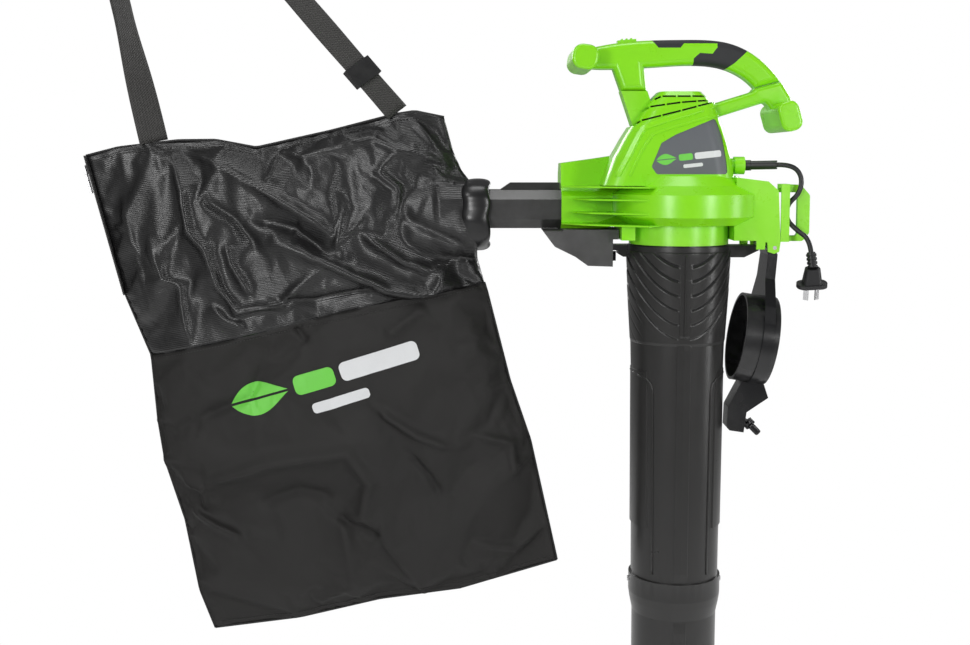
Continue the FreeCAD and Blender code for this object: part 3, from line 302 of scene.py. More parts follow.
UV_STEP = 0.0044            # metres of cloth to one cell of the mesh
MOUTH_TOP = -0.172
MOUTH_BOTTOM = -0.266
ACROSS = 116
UPPER_ROWS = 62
LOWER_ROWS = 92

# Folds: how far each stands out, how wide it is, and its line (x, z), in metres. Minus is a furrow.
UPPER_FOLDS = [
    (0.015, 0.020, [(-0.657, -0.119), (-0.587, -0.155), (-0.521, -0.189), (-0.474, -0.217),
                    (-0.443, -0.243)]),
    (0.016, 0.021, [(-0.524, -0.245), (-0.462, -0.270), (-0.382, -0.310), (-0.326, -0.319),
                    (-0.292, -0.262)]),
    (0.010, 0.013, [(-0.412, -0.232), (-0.357, -0.273), (-0.322, -0.283)]),
    (0.013, 0.016, [(-0.669, -0.134), (-0.649, -0.180), (-0.638, -0.232), (-0.617, -0.254),
                    (-0.602, -0.301), (-0.575, -0.335), (-0.519, -0.326), (-0.462, -0.277)]),
    (0.010, 0.012, [(-0.589, -0.245), (-0.583, -0.273), (-0.556, -0.316)]),
    (0.008, 0.012, [(-0.362, -0.125), (-0.393, -0.155), (-0.365, -0.174), (-0.366, -0.205)]),
    (0.009, 0.013, [(-0.534, -0.125), (-0.488, -0.134), (-0.399, -0.113), (-0.362, -0.128),
                    (-0.295, -0.142)]),
    (0.007, 0.010, [(-0.609, -0.329), (-0.591, -0.348), (-0.563, -0.357)]),
    (0.010, 0.014, [(-0.700, -0.235), (-0.676, -0.294), (-0.652, -0.304), (-0.646, -0.341),
                    (-0.638, -0.380)]),
    (0.007, 0.009, [(-0.437, -0.214), (-0.443, -0.245), (-0.409, -0.217)]),
    (0.009, 0.012, [(-0.350, -0.085), (-0.325, -0.110), (-0.291, -0.149)]),
    (-0.007, 0.014, [(-0.273, -0.250), (-0.320, -0.229), (-0.369, -0.205)]),
    (-0.009, 0.014, [(-0.543, -0.319), (-0.475, -0.326), (-0.394, -0.307)]),
    (-0.012, 0.018, [(-0.560, -0.215), (-0.500, -0.228), (-0.455, -0.262)]),
    (-0.010, 0.018, [(-0.625, -0.190), (-0.580, -0.215), (-0.545, -0.260)]),
    (0.008, 0.014, [(-0.735, -0.180), (-0.715, -0.270), (-0.690, -0.360)]),
]
LOWER_FOLDS = [
    (0.009, 0.024, [(-0.664, -0.559), (-0.622, -0.567), (-0.537, -0.539), (-0.434, -0.524),
                    (-0.407, -0.567), (-0.415, -0.614), (-0.443, -0.625), (-0.435, -0.669),
                    (-0.432, -0.704)]),
    (0.007, 0.014, [(-0.399, -0.466), (-0.342, -0.504), (-0.296, -0.520)]),
    (0.007, 0.012, [(-0.266, -0.504), (-0.220, -0.516), (-0.216, -0.551), (-0.189, -0.535)]),
    (0.005, 0.014, [(-0.277, -0.649), (-0.212, -0.661), (-0.162, -0.629)]),
    (0.006, 0.010, [(-0.660, -0.567), (-0.626, -0.575), (-0.623, -0.602)]),
    (0.007, 0.013, [(-0.649, -0.606), (-0.608, -0.629), (-0.573, -0.645)]),
    (-0.005, 0.010, [(-0.504, -0.354), (-0.485, -0.380)]),
    (0.006, 0.018, [(-0.385, -0.375), (-0.330, -0.332)]),
    (-0.007, 0.014, [(-0.454, -0.614), (-0.393, -0.641)]),
    (-0.005, 0.012, [(-0.354, -0.528), (-0.327, -0.559), (-0.312, -0.586)]),
    (0.004, 0.012, [(-0.486, -0.740), (-0.432, -0.712)]),
    (-0.006, 0.022, [(-0.560, -0.600), (-0.500, -0.580), (-0.450, -0.590)]),
    (-0.004, 0.020, [(-0.630, -0.480), (-0.560, -0.450), (-0.540, -0.400)]),
]


def along(line, share):
    """The point at that share of a line's length."""
    lengths = [math.dist(a, b) for a, b in zip(line[:-1], line[1:])]
    left = share * sum(lengths)
    for (a, b), length in zip(zip(line[:-1], line[1:]), lengths):
        if left <= length or (a, b) == (line[-2], line[-1]):
            t = min(1, left / length)
            return V((a[0] + (b[0] - a[0]) * t, a[1] + (b[1] - a[1]) * t))
        left -= length


def patch_point(top, bottom, left, right, u, v):
    """A Coons patch between four edges."""
    t, b, l, r = along(top, u), along(bottom, u), along(left, v), along(right, v)
    corners = V(top[0]) * (1 - u) * (1 - v) + V(top[-1]) * u * (1 - v)
    corners += V(bottom[0]) * (1 - u) * v + V(bottom[-1]) * u * v
    return t * (1 - v) + b * v + l * (1 - u) + r * u - corners


def smooth(value):
    value = max(0.0, min(1.0, value))
    return value * value * (3 - 2 * value)


def line_distance(x, z, line):
    """Distance to a line, and the share of its length at the nearest point."""
    best, where, run = 1e9, 0.0, 0.0
    total = sum(math.dist(a, b) for a, b in zip(line[:-1], line[1:]))
    for (ax, az), (bx, bz) in zip(line[:-1], line[1:]):
        dx, dz = bx - ax, bz - az
        length = math.hypot(dx, dz)
        t = max(0.0, min(1.0, ((x - ax) * dx + (z - az) * dz) / (length * length)))
        gap = math.hypot(x - ax - t * dx, z - az - t * dz)
        if gap < best:
            best, where = gap, (run + t * length) / total
        run += length
    return best, where


def folds_at(x, z, folds):
    height = 0.0
    for lift, width, line in folds:
        gap, where = line_distance(x, z, line)
        if gap < 2.2 * width:
            ends = smooth(where / 0.18) * smooth((1 - where) / 0.18) * 0.8 + 0.2
            sharp = 1 / (1 + (gap / (0.42 * width)) ** 2)
            height += lift * ends * (sharp - 0.035) * smooth((2.2 * width - gap) / width)
    return height


def crumple(x, z, scale, seed):
    """Ridged noise: sharp little ridges with soft hollows."""
    total, gain = 0.0, 1.0
    place = V((x * scale, z * scale * 0.8, seed))
    for _ in range(3):
        total += gain * (1 - 2 * abs(noise.noise(place)))
        place = place * 2.1
        gain *= 0.45
    return total


def half_depth(u, v, is_upper):
    """Half the bag's thickness, from edge to edge and from top to bottom."""
    profile = max(0.0, 1 - (2 * u - 1) ** 2) ** 0.62
    if is_upper:
        return HALF_DEPTH * profile * smooth(v / 0.5) ** 0.6
    return (HALF_DEPTH - 0.021 * v) * profile * (smooth((1 - v) / 0.18) ** 0.7)


def mouth_depth(u, z):
    """The bag's half depth round its mouth, where it is gathered on the tube."""
    if not MOUTH_BOTTOM - 0.03 < z < MOUTH_TOP + 0.03:
        return 0.0
    middle = (MOUTH_TOP + MOUTH_BOTTOM) / 2
    half = (MOUTH_TOP - MOUTH_BOTTOM) / 2
    spread = half * (1.0 + 0.9 * (1 - u))
    return MOUTH_HALF_DEPTH * max(0.0, 1 - ((z - middle) / spread) ** 2) ** 0.5 * smooth((u - 0.55) / 0.45)


def make_bag_mesh():
    """Both sides of the bag in one mesh, open at its mouth. Returns the mesh and its lists of seam points."""
    mesh = bmesh.new()
    uv = mesh.loops.layers.uv.new("UVMap")
    rows = UPPER_ROWS + LOWER_ROWS
    sides = {}
    edge_points = []
    for side in (-1, 1):
        for row in range(rows + 1):
            is_upper = row <= UPPER_ROWS
            for column in range(ACROSS + 1):
                u = column / ACROSS
                if is_upper:
                    v = row / UPPER_ROWS
                    x, z = patch_point(TOP_EDGE, SEAM_EDGE, LEFT_UPPER, RIGHT_UPPER, u, v)
                else:
                    v = (row - UPPER_ROWS) / LOWER_ROWS
                    x, z = patch_point(SEAM_EDGE, BOTTOM_EDGE, LEFT_LOWER, RIGHT_LOWER, u, v)
                at_edge = row in (0, rows) or column in (0, ACROSS)
                in_mouth = column == ACROSS and MOUTH_BOTTOM + 0.002 < z < MOUTH_TOP - 0.002
                if at_edge and not in_mouth and side == 1:
                    sides[side, row, column] = sides[-1, row, column]
                    continue
                depth = max(half_depth(u, v, is_upper), mouth_depth(u, z))
                if not at_edge:
                    near = min(u, 1 - u) * ACROSS / 9
                    near = min(near, row / 6, (rows - row) / 7)
                    ease = smooth(near)
                    if is_upper:
                        lift = folds_at(x, z, UPPER_FOLDS) + 0.0022 * crumple(x, z, 14, 3.7 * side)
                    else:
                        fade = 1 - 0.65 * smooth(v * 4)
                        lift = 1.8 * folds_at(x, z, LOWER_FOLDS)
                        lift += 0.0032 * fade * crumple(x, z, 9, 9.1 * side)
                    if side == 1:
                        lift *= 0.7
                    depth = max(0.0022, depth + lift * ease)
                vert = mesh.verts.new((x, BAG_Y + side * depth, z))
                sides[side, row, column] = vert
                if at_edge:
                    edge_points.append((side, row, column))
    mesh.verts.index_update()
    for side in (-1, 1):
        for row in range(rows):
            for column in range(ACROSS):
                keys = [(row, column), (row + 1, column), (row + 1, column + 1), (row, column + 1)]
                if side == 1:
                    keys.reverse()
                corners = [sides[side, r, c] for r, c in keys]
                if len(set(corners)) < 3:
                    continue
                face = mesh.faces.new(corners)
                face.smooth = True
                face.material_index = 0 if row < UPPER_ROWS else 1
                for loop, (r, c) in zip(face.loops, keys):
                    loop[uv].uv = (c * UV_STEP, r * UV_STEP)
    made = bpy.data.meshes.new("bag")
    mesh.to_mesh(made)
    edge = sorted({sides[key].index for key in edge_points})
    mesh.free()
    return made, edge


CLOTH_SETTINGS = {"quality": 5, "mass": 0.2, "tension_stiffness": 12, "compression_stiffness": 12,
                  "shear_stiffness": 4, "bending_stiffness": 0.35, "air_damping": 3}


def settle(obj, pinned, frames, swell, slack, reach):
    """Lets the cloth swell and buckle between its held edges, then keeps the result."""
    group = obj.vertex_groups.new(name="held")
    group.add(pinned, 1.0, "REPLACE")
    start = [v.co.copy() for v in obj.data.vertices]
    cloth = obj.modifiers.new("cloth", "CLOTH")
    cloth.settings.vertex_group_mass = "held"
    for setting, value in CLOTH_SETTINGS.items():
        setattr(cloth.settings, setting, value)
    cloth.settings.shrink_min = -slack
    cloth.settings.use_pressure = True
    cloth.settings.uniform_pressure_force = swell
    cloth.settings.effector_weights.gravity = 0
    cloth.point_cache.frame_start = 1
    cloth.point_cache.frame_end = frames
    for frame_number in range(1, frames + 1):
        scene.frame_set(frame_number)
    solved = obj.evaluated_get(bpy.context.evaluated_depsgraph_get())
    places = [v.co.copy() for v in solved.data.vertices]
    obj.modifiers.remove(cloth)
    for vert, place, before in zip(obj.data.vertices, places, start):
        move = place - before
        if move.length > reach:
            move *= reach / move.length
        vert.co = before + move
        side = -1 if before.y < BAG_Y else 1
        if (vert.co.y - BAG_Y) * side < LEAST_GAP and abs(before.y - BAG_Y) > LEAST_GAP:
            vert.co.y = BAG_Y + side * LEAST_GAP
        # Round the bag tube the cloth keeps clear of it, less so over its rounded corners.
        near_tube = smooth((vert.co.x - TUBE_CLEAR_X) / 0.022)
        if near_tube > 0 and abs(vert.co.z - TUBE_MIDDLE_Z) < 0.034 and abs(before.y - BAG_Y) > LEAST_GAP:
            corner = max(0.0, (abs(vert.co.z - TUBE_MIDDLE_Z) - 0.013) / 0.021)
            needed = (0.0435 - 0.016 * corner) * near_tube
            if (vert.co.y - BAG_Y) * side < needed:
                vert.co.y = BAG_Y + side * needed
    scene.frame_set(1)


def fabric_ripstop():
    """Shiny coated nylon with a fine rib."""
    material = new_material("bag_ripstop", (0.008, 0.008, 0.009), 0.30, Specular_IOR_Level=0.6)
    shader = shader_of(material)
    flat = coordinates(material, "UV")
    rib = wave(material, flat, "Y", 135.0, 0.35)
    tone = mix_colour(material, rib, (0.004, 0.004, 0.0045), (0.014, 0.0138, 0.0138))
    link(material, tone, shader.inputs["Base Color"])
    patches = noise_node(material, flat, 12, 4)
    link(material, ramp(material, patches, 0.24, 0.40), shader.inputs["Roughness"])
    soft = bump(material, noise_node(material, flat, 26.0, 4.0, 0.6), 0.004, 0.35)
    link(material, bump(material, rib, 0.0004, 0.55, soft), shader.inputs["Normal"])
    return material


def fabric_nylon():
    """Matt woven nylon with a fine plain weave."""
    material = new_material("bag_nylon", (0.014, 0.0135, 0.013), 0.58, Specular_IOR_Level=0.35)
    shader = shader_of(material)
    flat = coordinates(material, "UV")
    weave = product(material, wave(material, flat, "X", 430.0, 0.6), wave(material, flat, "Y", 430.0, 0.6))
    cloudy = noise_node(material, flat, 7, 5)
    tone = mix_colour(material, cloudy, (0.011, 0.0105, 0.010), (0.019, 0.018, 0.017))
    link(material, tone, shader.inputs["Base Color"])
    link(material, ramp(material, cloudy, 0.5, 0.7), shader.inputs["Roughness"])
    soft = bump(material, noise_node(material, flat, 20, 4, 0.55), 0.003, 0.3)
    link(material, bump(material, weave, 0.0003, 0.45, soft), shader.inputs["Normal"])
    return material


RIPSTOP = fabric_ripstop()
NYLON = fabric_nylon()


FABRICS = (("bag_upper_fabric", RIPSTOP, "bag_ripstop", "bag_upper"),
           ("bag_lower_fabric", NYLON, "bag_nylon", "bag_lower"))


def split_bag(obj):
    """Parts the finished mesh at the cross seam, into its two fabrics."""
    for index, (name, material, slot, replaced) in enumerate(FABRICS):
        mesh = bmesh.new()
        mesh.from_mesh(obj.data)
        bmesh.ops.delete(mesh, geom=[f for f in mesh.faces if f.material_index != index], context="FACES")
        for face in mesh.faces:
            face.material_index = 0
        made = bpy.data.meshes.new(name)
        mesh.to_mesh(made)
        mesh.free()
        piece = link_piece(name, made, "bag_assembly", material, False)
        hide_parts(replaced)
        thickness = piece.modifiers.new("thickness", "SOLIDIFY")
        thickness.thickness = FABRIC_THICKNESS
        thickness.offset = -1


def make_bag():
    """Makes both fabrics and returns a search tree of their surface."""
    mesh, edge = make_bag_mesh()
    whole = bpy.data.objects.new("bag_whole", mesh)
    scene.collection.objects.link(whole)
    settle(whole, edge, frames=18, swell=1.2, slack=0.035, reach=0.014)
    tree = BVHTree.FromPolygons([v.co.copy() for v in mesh.vertices],
                                [tuple(p.vertices) for p in mesh.polygons])
    split_bag(whole)
    bpy.data.objects.remove(whole)
    return tree


bag_tree = make_bag()


# ---- Pieces that follow a surface -------------------------------------------
def tree_of(*nodes):
    points, faces = [], []
    for node in nodes:
        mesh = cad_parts[node].data
        first = len(points)
        points += [v.co.copy() for v in mesh.vertices]
        faces += [tuple(first + i for i in polygon.vertices) for polygon in mesh.polygons]
    return BVHTree.FromPolygons(points, faces)


def on_surface(tree, x, z, side):
    """The surface point and outward normal seen from the front (side -1) or the rear (side 1)."""
    hit, normal, _, _ = tree.ray_cast(V((x, side * 0.5, z)), V((0, -side, 0)))
    if hit is None:
        return None, None
    if normal.y * side < 0:
        normal = -normal
    return hit, normal


def grid_faces(rows, columns, closed_columns=False):
    faces = []
    for r in range(rows - 1):
        for c in range(columns if closed_columns else columns - 1):
            d = (c + 1) % columns
            faces.append((r * columns + c, r * columns + d, (r + 1) * columns + d, (r + 1) * columns + c))
    return faces


def capped_faces(rows, columns):
    """A closed tube of faces with both its ends filled."""
    last = (rows - 1) * columns
    faces = grid_faces(rows, columns, True)
    return faces + [tuple(range(columns - 1, -1, -1)), tuple(last + c for c in range(columns))]


def smooth_path(points, count):
    """Even points along a Catmull-Rom curve through the given ones."""
    dense = []
    ends = [points[0]] + list(points) + [points[-1]]
    for i in range(1, len(ends) - 2):
        p0, p1, p2, p3 = (V(ends[i + k]) for k in (-1, 0, 1, 2))
        for step in range(16):
            t = step / 16
            dense.append(0.5 * (2 * p1 + (p2 - p0) * t + (2 * p0 - 5 * p1 + 4 * p2 - p3) * t * t
                                + (3 * p1 - p0 - 3 * p2 + p3) * t ** 3))
    dense.append(V(points[-1]))
    lengths = [0.0]
    for a, b in zip(dense[:-1], dense[1:]):
        lengths.append(lengths[-1] + (b - a).length)
    out, k = [], 0
    for i in range(count):
        want = lengths[-1] * i / (count - 1)
        while k < len(lengths) - 2 and lengths[k + 1] < want:
            k += 1
        span = max(1e-9, lengths[k + 1] - lengths[k])
        out.append(dense[k].lerp(dense[k + 1], min(1, (want - lengths[k]) / span)))
    return out


def surface_ridge(name, path, width, height, tree, side, body, material):
    """A raised band with eased shoulders that follows a surface along a path of (x, z)."""
    profile = [(-0.5, -0.6), (-0.5, 0.35), (-0.42, 0.85), (-0.3, 1.0), (0.3, 1.0), (0.42, 0.85), (0.5, 0.35),
               (0.5, -0.6)]
    line = smooth_path(path, 70)
    points = []
    rows = 0
    for i, here in enumerate(line):
        way = (line[min(i + 1, len(line) - 1)] - line[max(i - 1, 0)]).normalized()
        across = V((-way.y, way.x))
        ring = []
        for share, lift in profile:
            spot = here + across * (share * width)
            hit, normal = on_surface(tree, spot.x, spot.y, side)
            if hit is None:
                break
            ring.append(hit + normal * (lift * height))
        if len(ring) == len(profile):
            points += ring
            rows += 1
    faces = capped_faces(rows, len(profile))
    link_piece(name, mesh_of(name, points, faces), body, material, False)


def rounded_bar(x0, z0, x1, z1, radius):
    """Outline of a bar with rounded ends, as (x, z)."""
    outline = []
    corners = [(x1 - radius, z1 - radius, 0), (x0 + radius, z1 - radius, 90), (x0 + radius, z0 + radius, 180),
               (x1 - radius, z0 + radius, 270)]
    for cx, cz, start in corners:
        for step in range(7):
            angle = math.radians(start + 15 * step)
            outline.append((cx + radius * math.cos(angle), cz + radius * math.sin(angle)))
    return outline


def leaf_half(length, width, side):
    """Half of a plain pointed leaf, on one side of its midrib."""
    outline = [(length * i / 18, side * 0.04 * width) for i in range(19)]
    for i in range(18, -1, -1):
        t = i / 18
        outline.append((length * t,
                        side * (0.04 * width + 0.5 * width * math.sin(math.pi * t ** 0.85) ** 1.15)))
    return outline


def print_on(name, outlines, centre, turn, tree, side, body, material, lift, mirrored=False):
    """A flat print: outlines in a plane, turned and laid on a surface."""
    mesh = bmesh.new()
    cosine, sine = math.cos(turn), math.sin(turn)
    for outline in outlines:
        corners = []
        for x, z in outline[::-1] if mirrored else outline:
            u = -x if mirrored else x
            corners.append(mesh.verts.new((centre[0] + u * cosine - z * sine, 0,
                                           centre[1] + u * sine + z * cosine)))
        mesh.faces.new(corners)
    bmesh.ops.remove_doubles(mesh, verts=mesh.verts, dist=0.00005)
    bmesh.ops.triangulate(mesh, faces=mesh.faces)
    for _ in range(5):
        long = [e for e in mesh.edges if e.calc_length() > 0.0035]
        if not long:
            break
        bmesh.ops.subdivide_edges(mesh, edges=long, cuts=1)
        bmesh.ops.triangulate(mesh, faces=mesh.faces)
    lost = []
    for vert in mesh.verts:
        hit, _ = on_surface(tree, vert.co.x, vert.co.z, side)
        if hit is None:
            lost.append(vert)
        else:
            vert.co = hit + V((0, side, 0)) * lift
    bmesh.ops.delete(mesh, geom=lost, context="VERTS")
    mesh.normal_update()
    flip = [f for f in mesh.faces if f.normal.y * side < 0]
    bmesh.ops.reverse_faces(mesh, faces=flip)
    made = bpy.data.meshes.new(name)
    mesh.to_mesh(made)
    mesh.free()
    return link_piece(name, made, body, material)


# ---- Prints -----------------------------------------------------------------
def ink(name, colour, roughness=0.5):
    material = new_material(name, colour, roughness)
    speckle = noise_node(material, coordinates(material), 900, 3)
    link(material, mix_colour(material, speckle, tuple(c * 0.9 for c in colour), colour),
         shader_of(material).inputs["Base Color"])
    link(material, bump(material, speckle, 0.0001, 0.3), shader_of(material).inputs["Normal"])
    return material


PRINT_GREEN = ink("print_green", (0.16, 0.62, 0.07))
PRINT_WHITE = ink("print_white", (0.72, 0.73, 0.74))


def emblem(name, centre, turn, size, tree, side, body, lift):
    """A plain leaf and a few bars, with no lettering. size is its overall width."""
    s = size
    green = [leaf_half(0.31 * s, 0.155 * s, 1), leaf_half(0.31 * s, 0.155 * s, -1),
             rounded_bar(0.345 * s, -0.045 * s, 0.56 * s, 0.055 * s, 0.03 * s)]
    white = [rounded_bar(0.59 * s, -0.045 * s, 1.0 * s, 0.055 * s, 0.03 * s),
             rounded_bar(0.40 * s, -0.16 * s, 0.70 * s, -0.105 * s, 0.02 * s)]
    middle = 0.5 * s
    for tag, outlines, material in (("green", green, PRINT_GREEN), ("white", white, PRINT_WHITE)):
        moved = [[(x - middle, z) for x, z in outline] for outline in outlines]
        print_on(name + "_" + tag, moved, centre, turn, tree, side, body, material, lift, side > 0)


emblem("bag_print", (-0.465, -0.425), math.radians(17), 0.262, bag_tree, -1, "bag_assembly", 0.0009)
badge_tree = tree_of("badge_panel_front", "badge_panel_rear")
emblem("badge_print_front", (0.004, -0.133), math.radians(6), 0.082, badge_tree, -1, "power_head", 0.0002)
emblem("badge_print_rear", (0.004, -0.133), math.radians(-6), 0.082, badge_tree, 1, "power_head", 0.0002)


# ---- Housing ridges and the vent slots' painted shade -----------------------
def make_housing_ridges():
    tree = tree_of("housing_front", "housing_rear")
    path = [(-0.0855, -0.1565), (-0.0705, -0.1290), (-0.0555, -0.1010), (-0.0440, -0.0930), (0.0160, -0.0745),
            (0.0400, -0.0668)]
    inner = [(-0.0700, -0.1565), (-0.0570, -0.1290), (-0.0440, -0.1085), (-0.0330, -0.1015),
             (0.0160, -0.0870), (0.0460, -0.0790)]
    for side, tag in ((-1, "front"), (1, "rear")):
        for name, line, width, height in (("ridge", path, 0.0075, 0.0016), ("step", inner, 0.0030, 0.0010)):
            surface_ridge("housing_" + name + "_" + tag, line, width, height, tree, side, "power_head",
                          SLOT_LOOKS["lime_shell"])


make_housing_ridges()

VENT_SHADE_LEVELS = [(-0.110, -0.066, 0.048, 0.0405, 0.020), (-0.094, -0.058, 0.043, 0.0385, 0.019),
                 (-0.075, -0.046, 0.037, 0.0345, 0.017), (-0.058, -0.032, 0.027, 0.0290, 0.014),
                 (-0.0545, -0.025, 0.020, 0.0230, 0.010)]


def make_vent_shade_sheet():
    """A dark sheet inside the vented cap: painted shade, so the vent slots look dark instead of showing
    through.
    """
    points = []
    for z, x0, x1, half, corner in VENT_SHADE_LEVELS:
        for cx, cy, start in ((x1 - corner, half - corner, 0), (x0 + corner, half - corner, 90),
                              (x0 + corner, corner - half, 180), (x1 - corner, corner - half, 270)):
            for step in range(9):
                angle = math.radians(start + 11.25 * step)
                points.append((cx + corner * math.cos(angle), cy + corner * math.sin(angle), z))
    faces = grid_faces(len(VENT_SHADE_LEVELS), 36, True)
    faces.append(tuple(range((len(VENT_SHADE_LEVELS) - 1) * 36, len(VENT_SHADE_LEVELS) * 36)))
    mesh = mesh_of("vent_shade_sheet", points, faces)
    # Near-black painted shade for the vent slots, broken up by a fine cell pattern.
    shade_dark = new_material("vent_shade_dark", (0.006, 0.006, 0.006), 0.9)
    cells = add_node(shade_dark, "ShaderNodeTexVoronoi", in_Scale=900.0)
    link(shade_dark, coordinates(shade_dark), cells.inputs["Vector"])
    link(shade_dark, mix_colour(shade_dark, cells.outputs["Distance"], (0.002, 0.002, 0.002), (0.012, 0.012, 0.012)),
         shader_of(shade_dark).inputs["Base Color"])
    return link_piece("vent_shade_sheet", mesh, "power_head", shade_dark)


make_vent_shade_sheet()


# ---- Suction tube details ---------------------------------------------------
TUBE_RADII = [(-0.258, 0.0650), (-0.319, 0.0634), (-0.366, 0.0610), (-0.452, 0.0588), (-0.613, 0.0576),
              (-0.675, 0.0572), (-0.712, 0.0572)]
LOWER_RADII = [(-0.716, 0.0588), (-0.732, 0.0555), (-1.160, 0.0545)]
CHEVRON_PITCH = 0.0187
CHEVRON_TOP = -0.2500
CHEVRON_END = -0.3720
CHEVRON_RISE = 0.0700


def radius_at(z, table):
    for (z0, r0), (z1, r1) in zip(table[:-1], table[1:]):
        if z >= z1:
            return r0 + (r1 - r0) * max(0.0, (z0 - z) / (z0 - z1))
    return table[-1][1]


def chevron_height(angle, z):
    """How far the grip sleeve stands proud at an angle from its front or rear line."""
    fold = abs(angle)
    rise = CHEVRON_RISE * (0.5 * (1 - math.cos(fold)) + 0.5 * math.sin(fold) ** 2)
    depth = (CHEVRON_TOP - z) + rise
    share = (depth / CHEVRON_PITCH) % 1.0
    down = max(0.0, min(1.0, (CHEVRON_TOP - z) / (CHEVRON_TOP - CHEVRON_END)))
    width = 0.27 - 0.15 * down
    tall = 0.0026 * (1 - 0.70 * down)
    groove = smooth(share / 0.05) * smooth((width - share) / 0.05)
    slope = 1.0 - 0.25 * share
    strip = smooth((abs(fold) * 0.064 - 0.0075) / 0.0012)
    height = tall * slope * (1 - groove * strip)
    if depth > 6.6 * CHEVRON_PITCH:
        height = tall * 0.75 * (1 - 0.6 * groove * smooth((fold - 0.75) / 0.3))
    return height + 0.0002


GROOVE_SHADE = moulded("groove_shade", (0.003, 0.003, 0.003), (0.01, 0.01, 0.01), 0.75, 1800)


def make_grip_sleeve():
    rows, columns = 150, 360
    top, bottom = -0.2535, CHEVRON_END
    points = []
    for r in range(rows + 1):
        z = top + (bottom - top) * r / rows
        for c in range(columns):
            around = 2 * math.pi * c / columns
            angle = (around + math.pi / 2) % math.pi - math.pi / 2
            end = smooth((z - bottom) / 0.004)
            reach = radius_at(z, TUBE_RADII) + chevron_height(angle, z) * (0.15 + 0.85 * end)
            points.append((reach * math.sin(around), -reach * math.cos(around), z))
    for z, grow in ((bottom, -0.0012), (top, -0.0012)):
        for c in range(columns):
            around = 2 * math.pi * c / columns
            reach = radius_at(z, TUBE_RADII) + grow
            points.append((reach * math.sin(around), -reach * math.cos(around), z))
    faces = grid_faces(rows + 2, columns, True)
    last = (rows + 2) * columns
    for c in range(columns):
        d = (c + 1) % columns
        faces.append((last + c, last + d, d, c))
    mesh = mesh_of("tube_grip_sleeve", points, faces)
    piece = link_piece("tube_grip_sleeve", mesh, "suction_tube", SLOT_LOOKS["tube_plastic"])
    mesh.materials.append(GROOVE_SHADE)
    for polygon in mesh.polygons:
        middle = polygon.center
        stands = math.hypot(middle.x, middle.y) - radius_at(middle.z, TUBE_RADII)
        down = max(0.0, min(1.0, (CHEVRON_TOP - middle.z) / (CHEVRON_TOP - CHEVRON_END)))
        if stands < 0.0004 + 0.0006 * (1 - down) and CHEVRON_END + 0.006 < middle.z < top - 0.002:
            polygon.material_index = 1
    return piece


def tube_rail(name, side, z0, z1, half_width, height, table, rows=60):
    """A raised strip down the front or rear line of a tube."""
    profile = [(-1.0, -0.5), (-1.0, 0.5), (-0.93, 0.95), (-0.86, 1.0), (0.0, 1.0), (0.86, 1.0), (0.93, 0.95),
               (1.0, 0.5), (1.0, -0.5)]
    points = []
    for r in range(rows + 1):
        z = z0 + (z1 - z0) * r / rows
        taper = min(1.0, (rows - r) / 2 + 0.15, r / 2 + 0.15)
        for share, lift in profile:
            base = radius_at(z, table)
            angle = share * half_width / base
            reach = base + height * (lift if lift < 0 else lift * taper)
            points.append((reach * math.sin(angle), side * reach * math.cos(angle), z))
    mesh = mesh_of(name, points, capped_faces(rows + 1, len(profile)))
    link_piece(name, mesh, "suction_tube", SLOT_LOOKS["tube_plastic"], False)


make_grip_sleeve()


def flank_ridge(name, side, mirror):
    """The raised edge of the flat flank panel: across its top, round a corner and down."""
    path = [(0.98, -0.4119), (0.86, -0.4135), (0.74, -0.4165), (0.66, -0.4215), (0.625, -0.4300),
            (0.615, -0.4420)]
    path += [(0.615 - 0.03 * i / 14, -0.4420 - 0.230 * i / 14) for i in range(1, 15)]
    points = []
    for share, z in path:
        reach = radius_at(z, TUBE_RADII) + 0.0002
        across = share * 0.0600
        angle = math.asin(min(0.999, across / reach))
        points.append(V((mirror * reach * math.sin(angle), side * reach * math.cos(angle), z)))
    tube_along(name, points, 0.0014, "suction_tube", SLOT_LOOKS["tube_plastic"])


for rail_side, rail_tag in ((-1, "front"), (1, "rear")):
    tube_rail("tube_strip_" + rail_tag, rail_side, -0.366, -0.679, 0.0090, 0.0009, TUBE_RADII)
    tube_rail("tube_seam_" + rail_tag, rail_side, -0.2535, -0.362, 0.0009, 0.0036, TUBE_RADII)
    tube_rail("tube_ribs_" + rail_tag, rail_side, -0.2535, -0.362, 0.0068, 0.0022, TUBE_RADII)
    tube_rail("lower_strip_" + rail_tag, rail_side, -0.734, -1.150, 0.0085, 0.0009, LOWER_RADII)


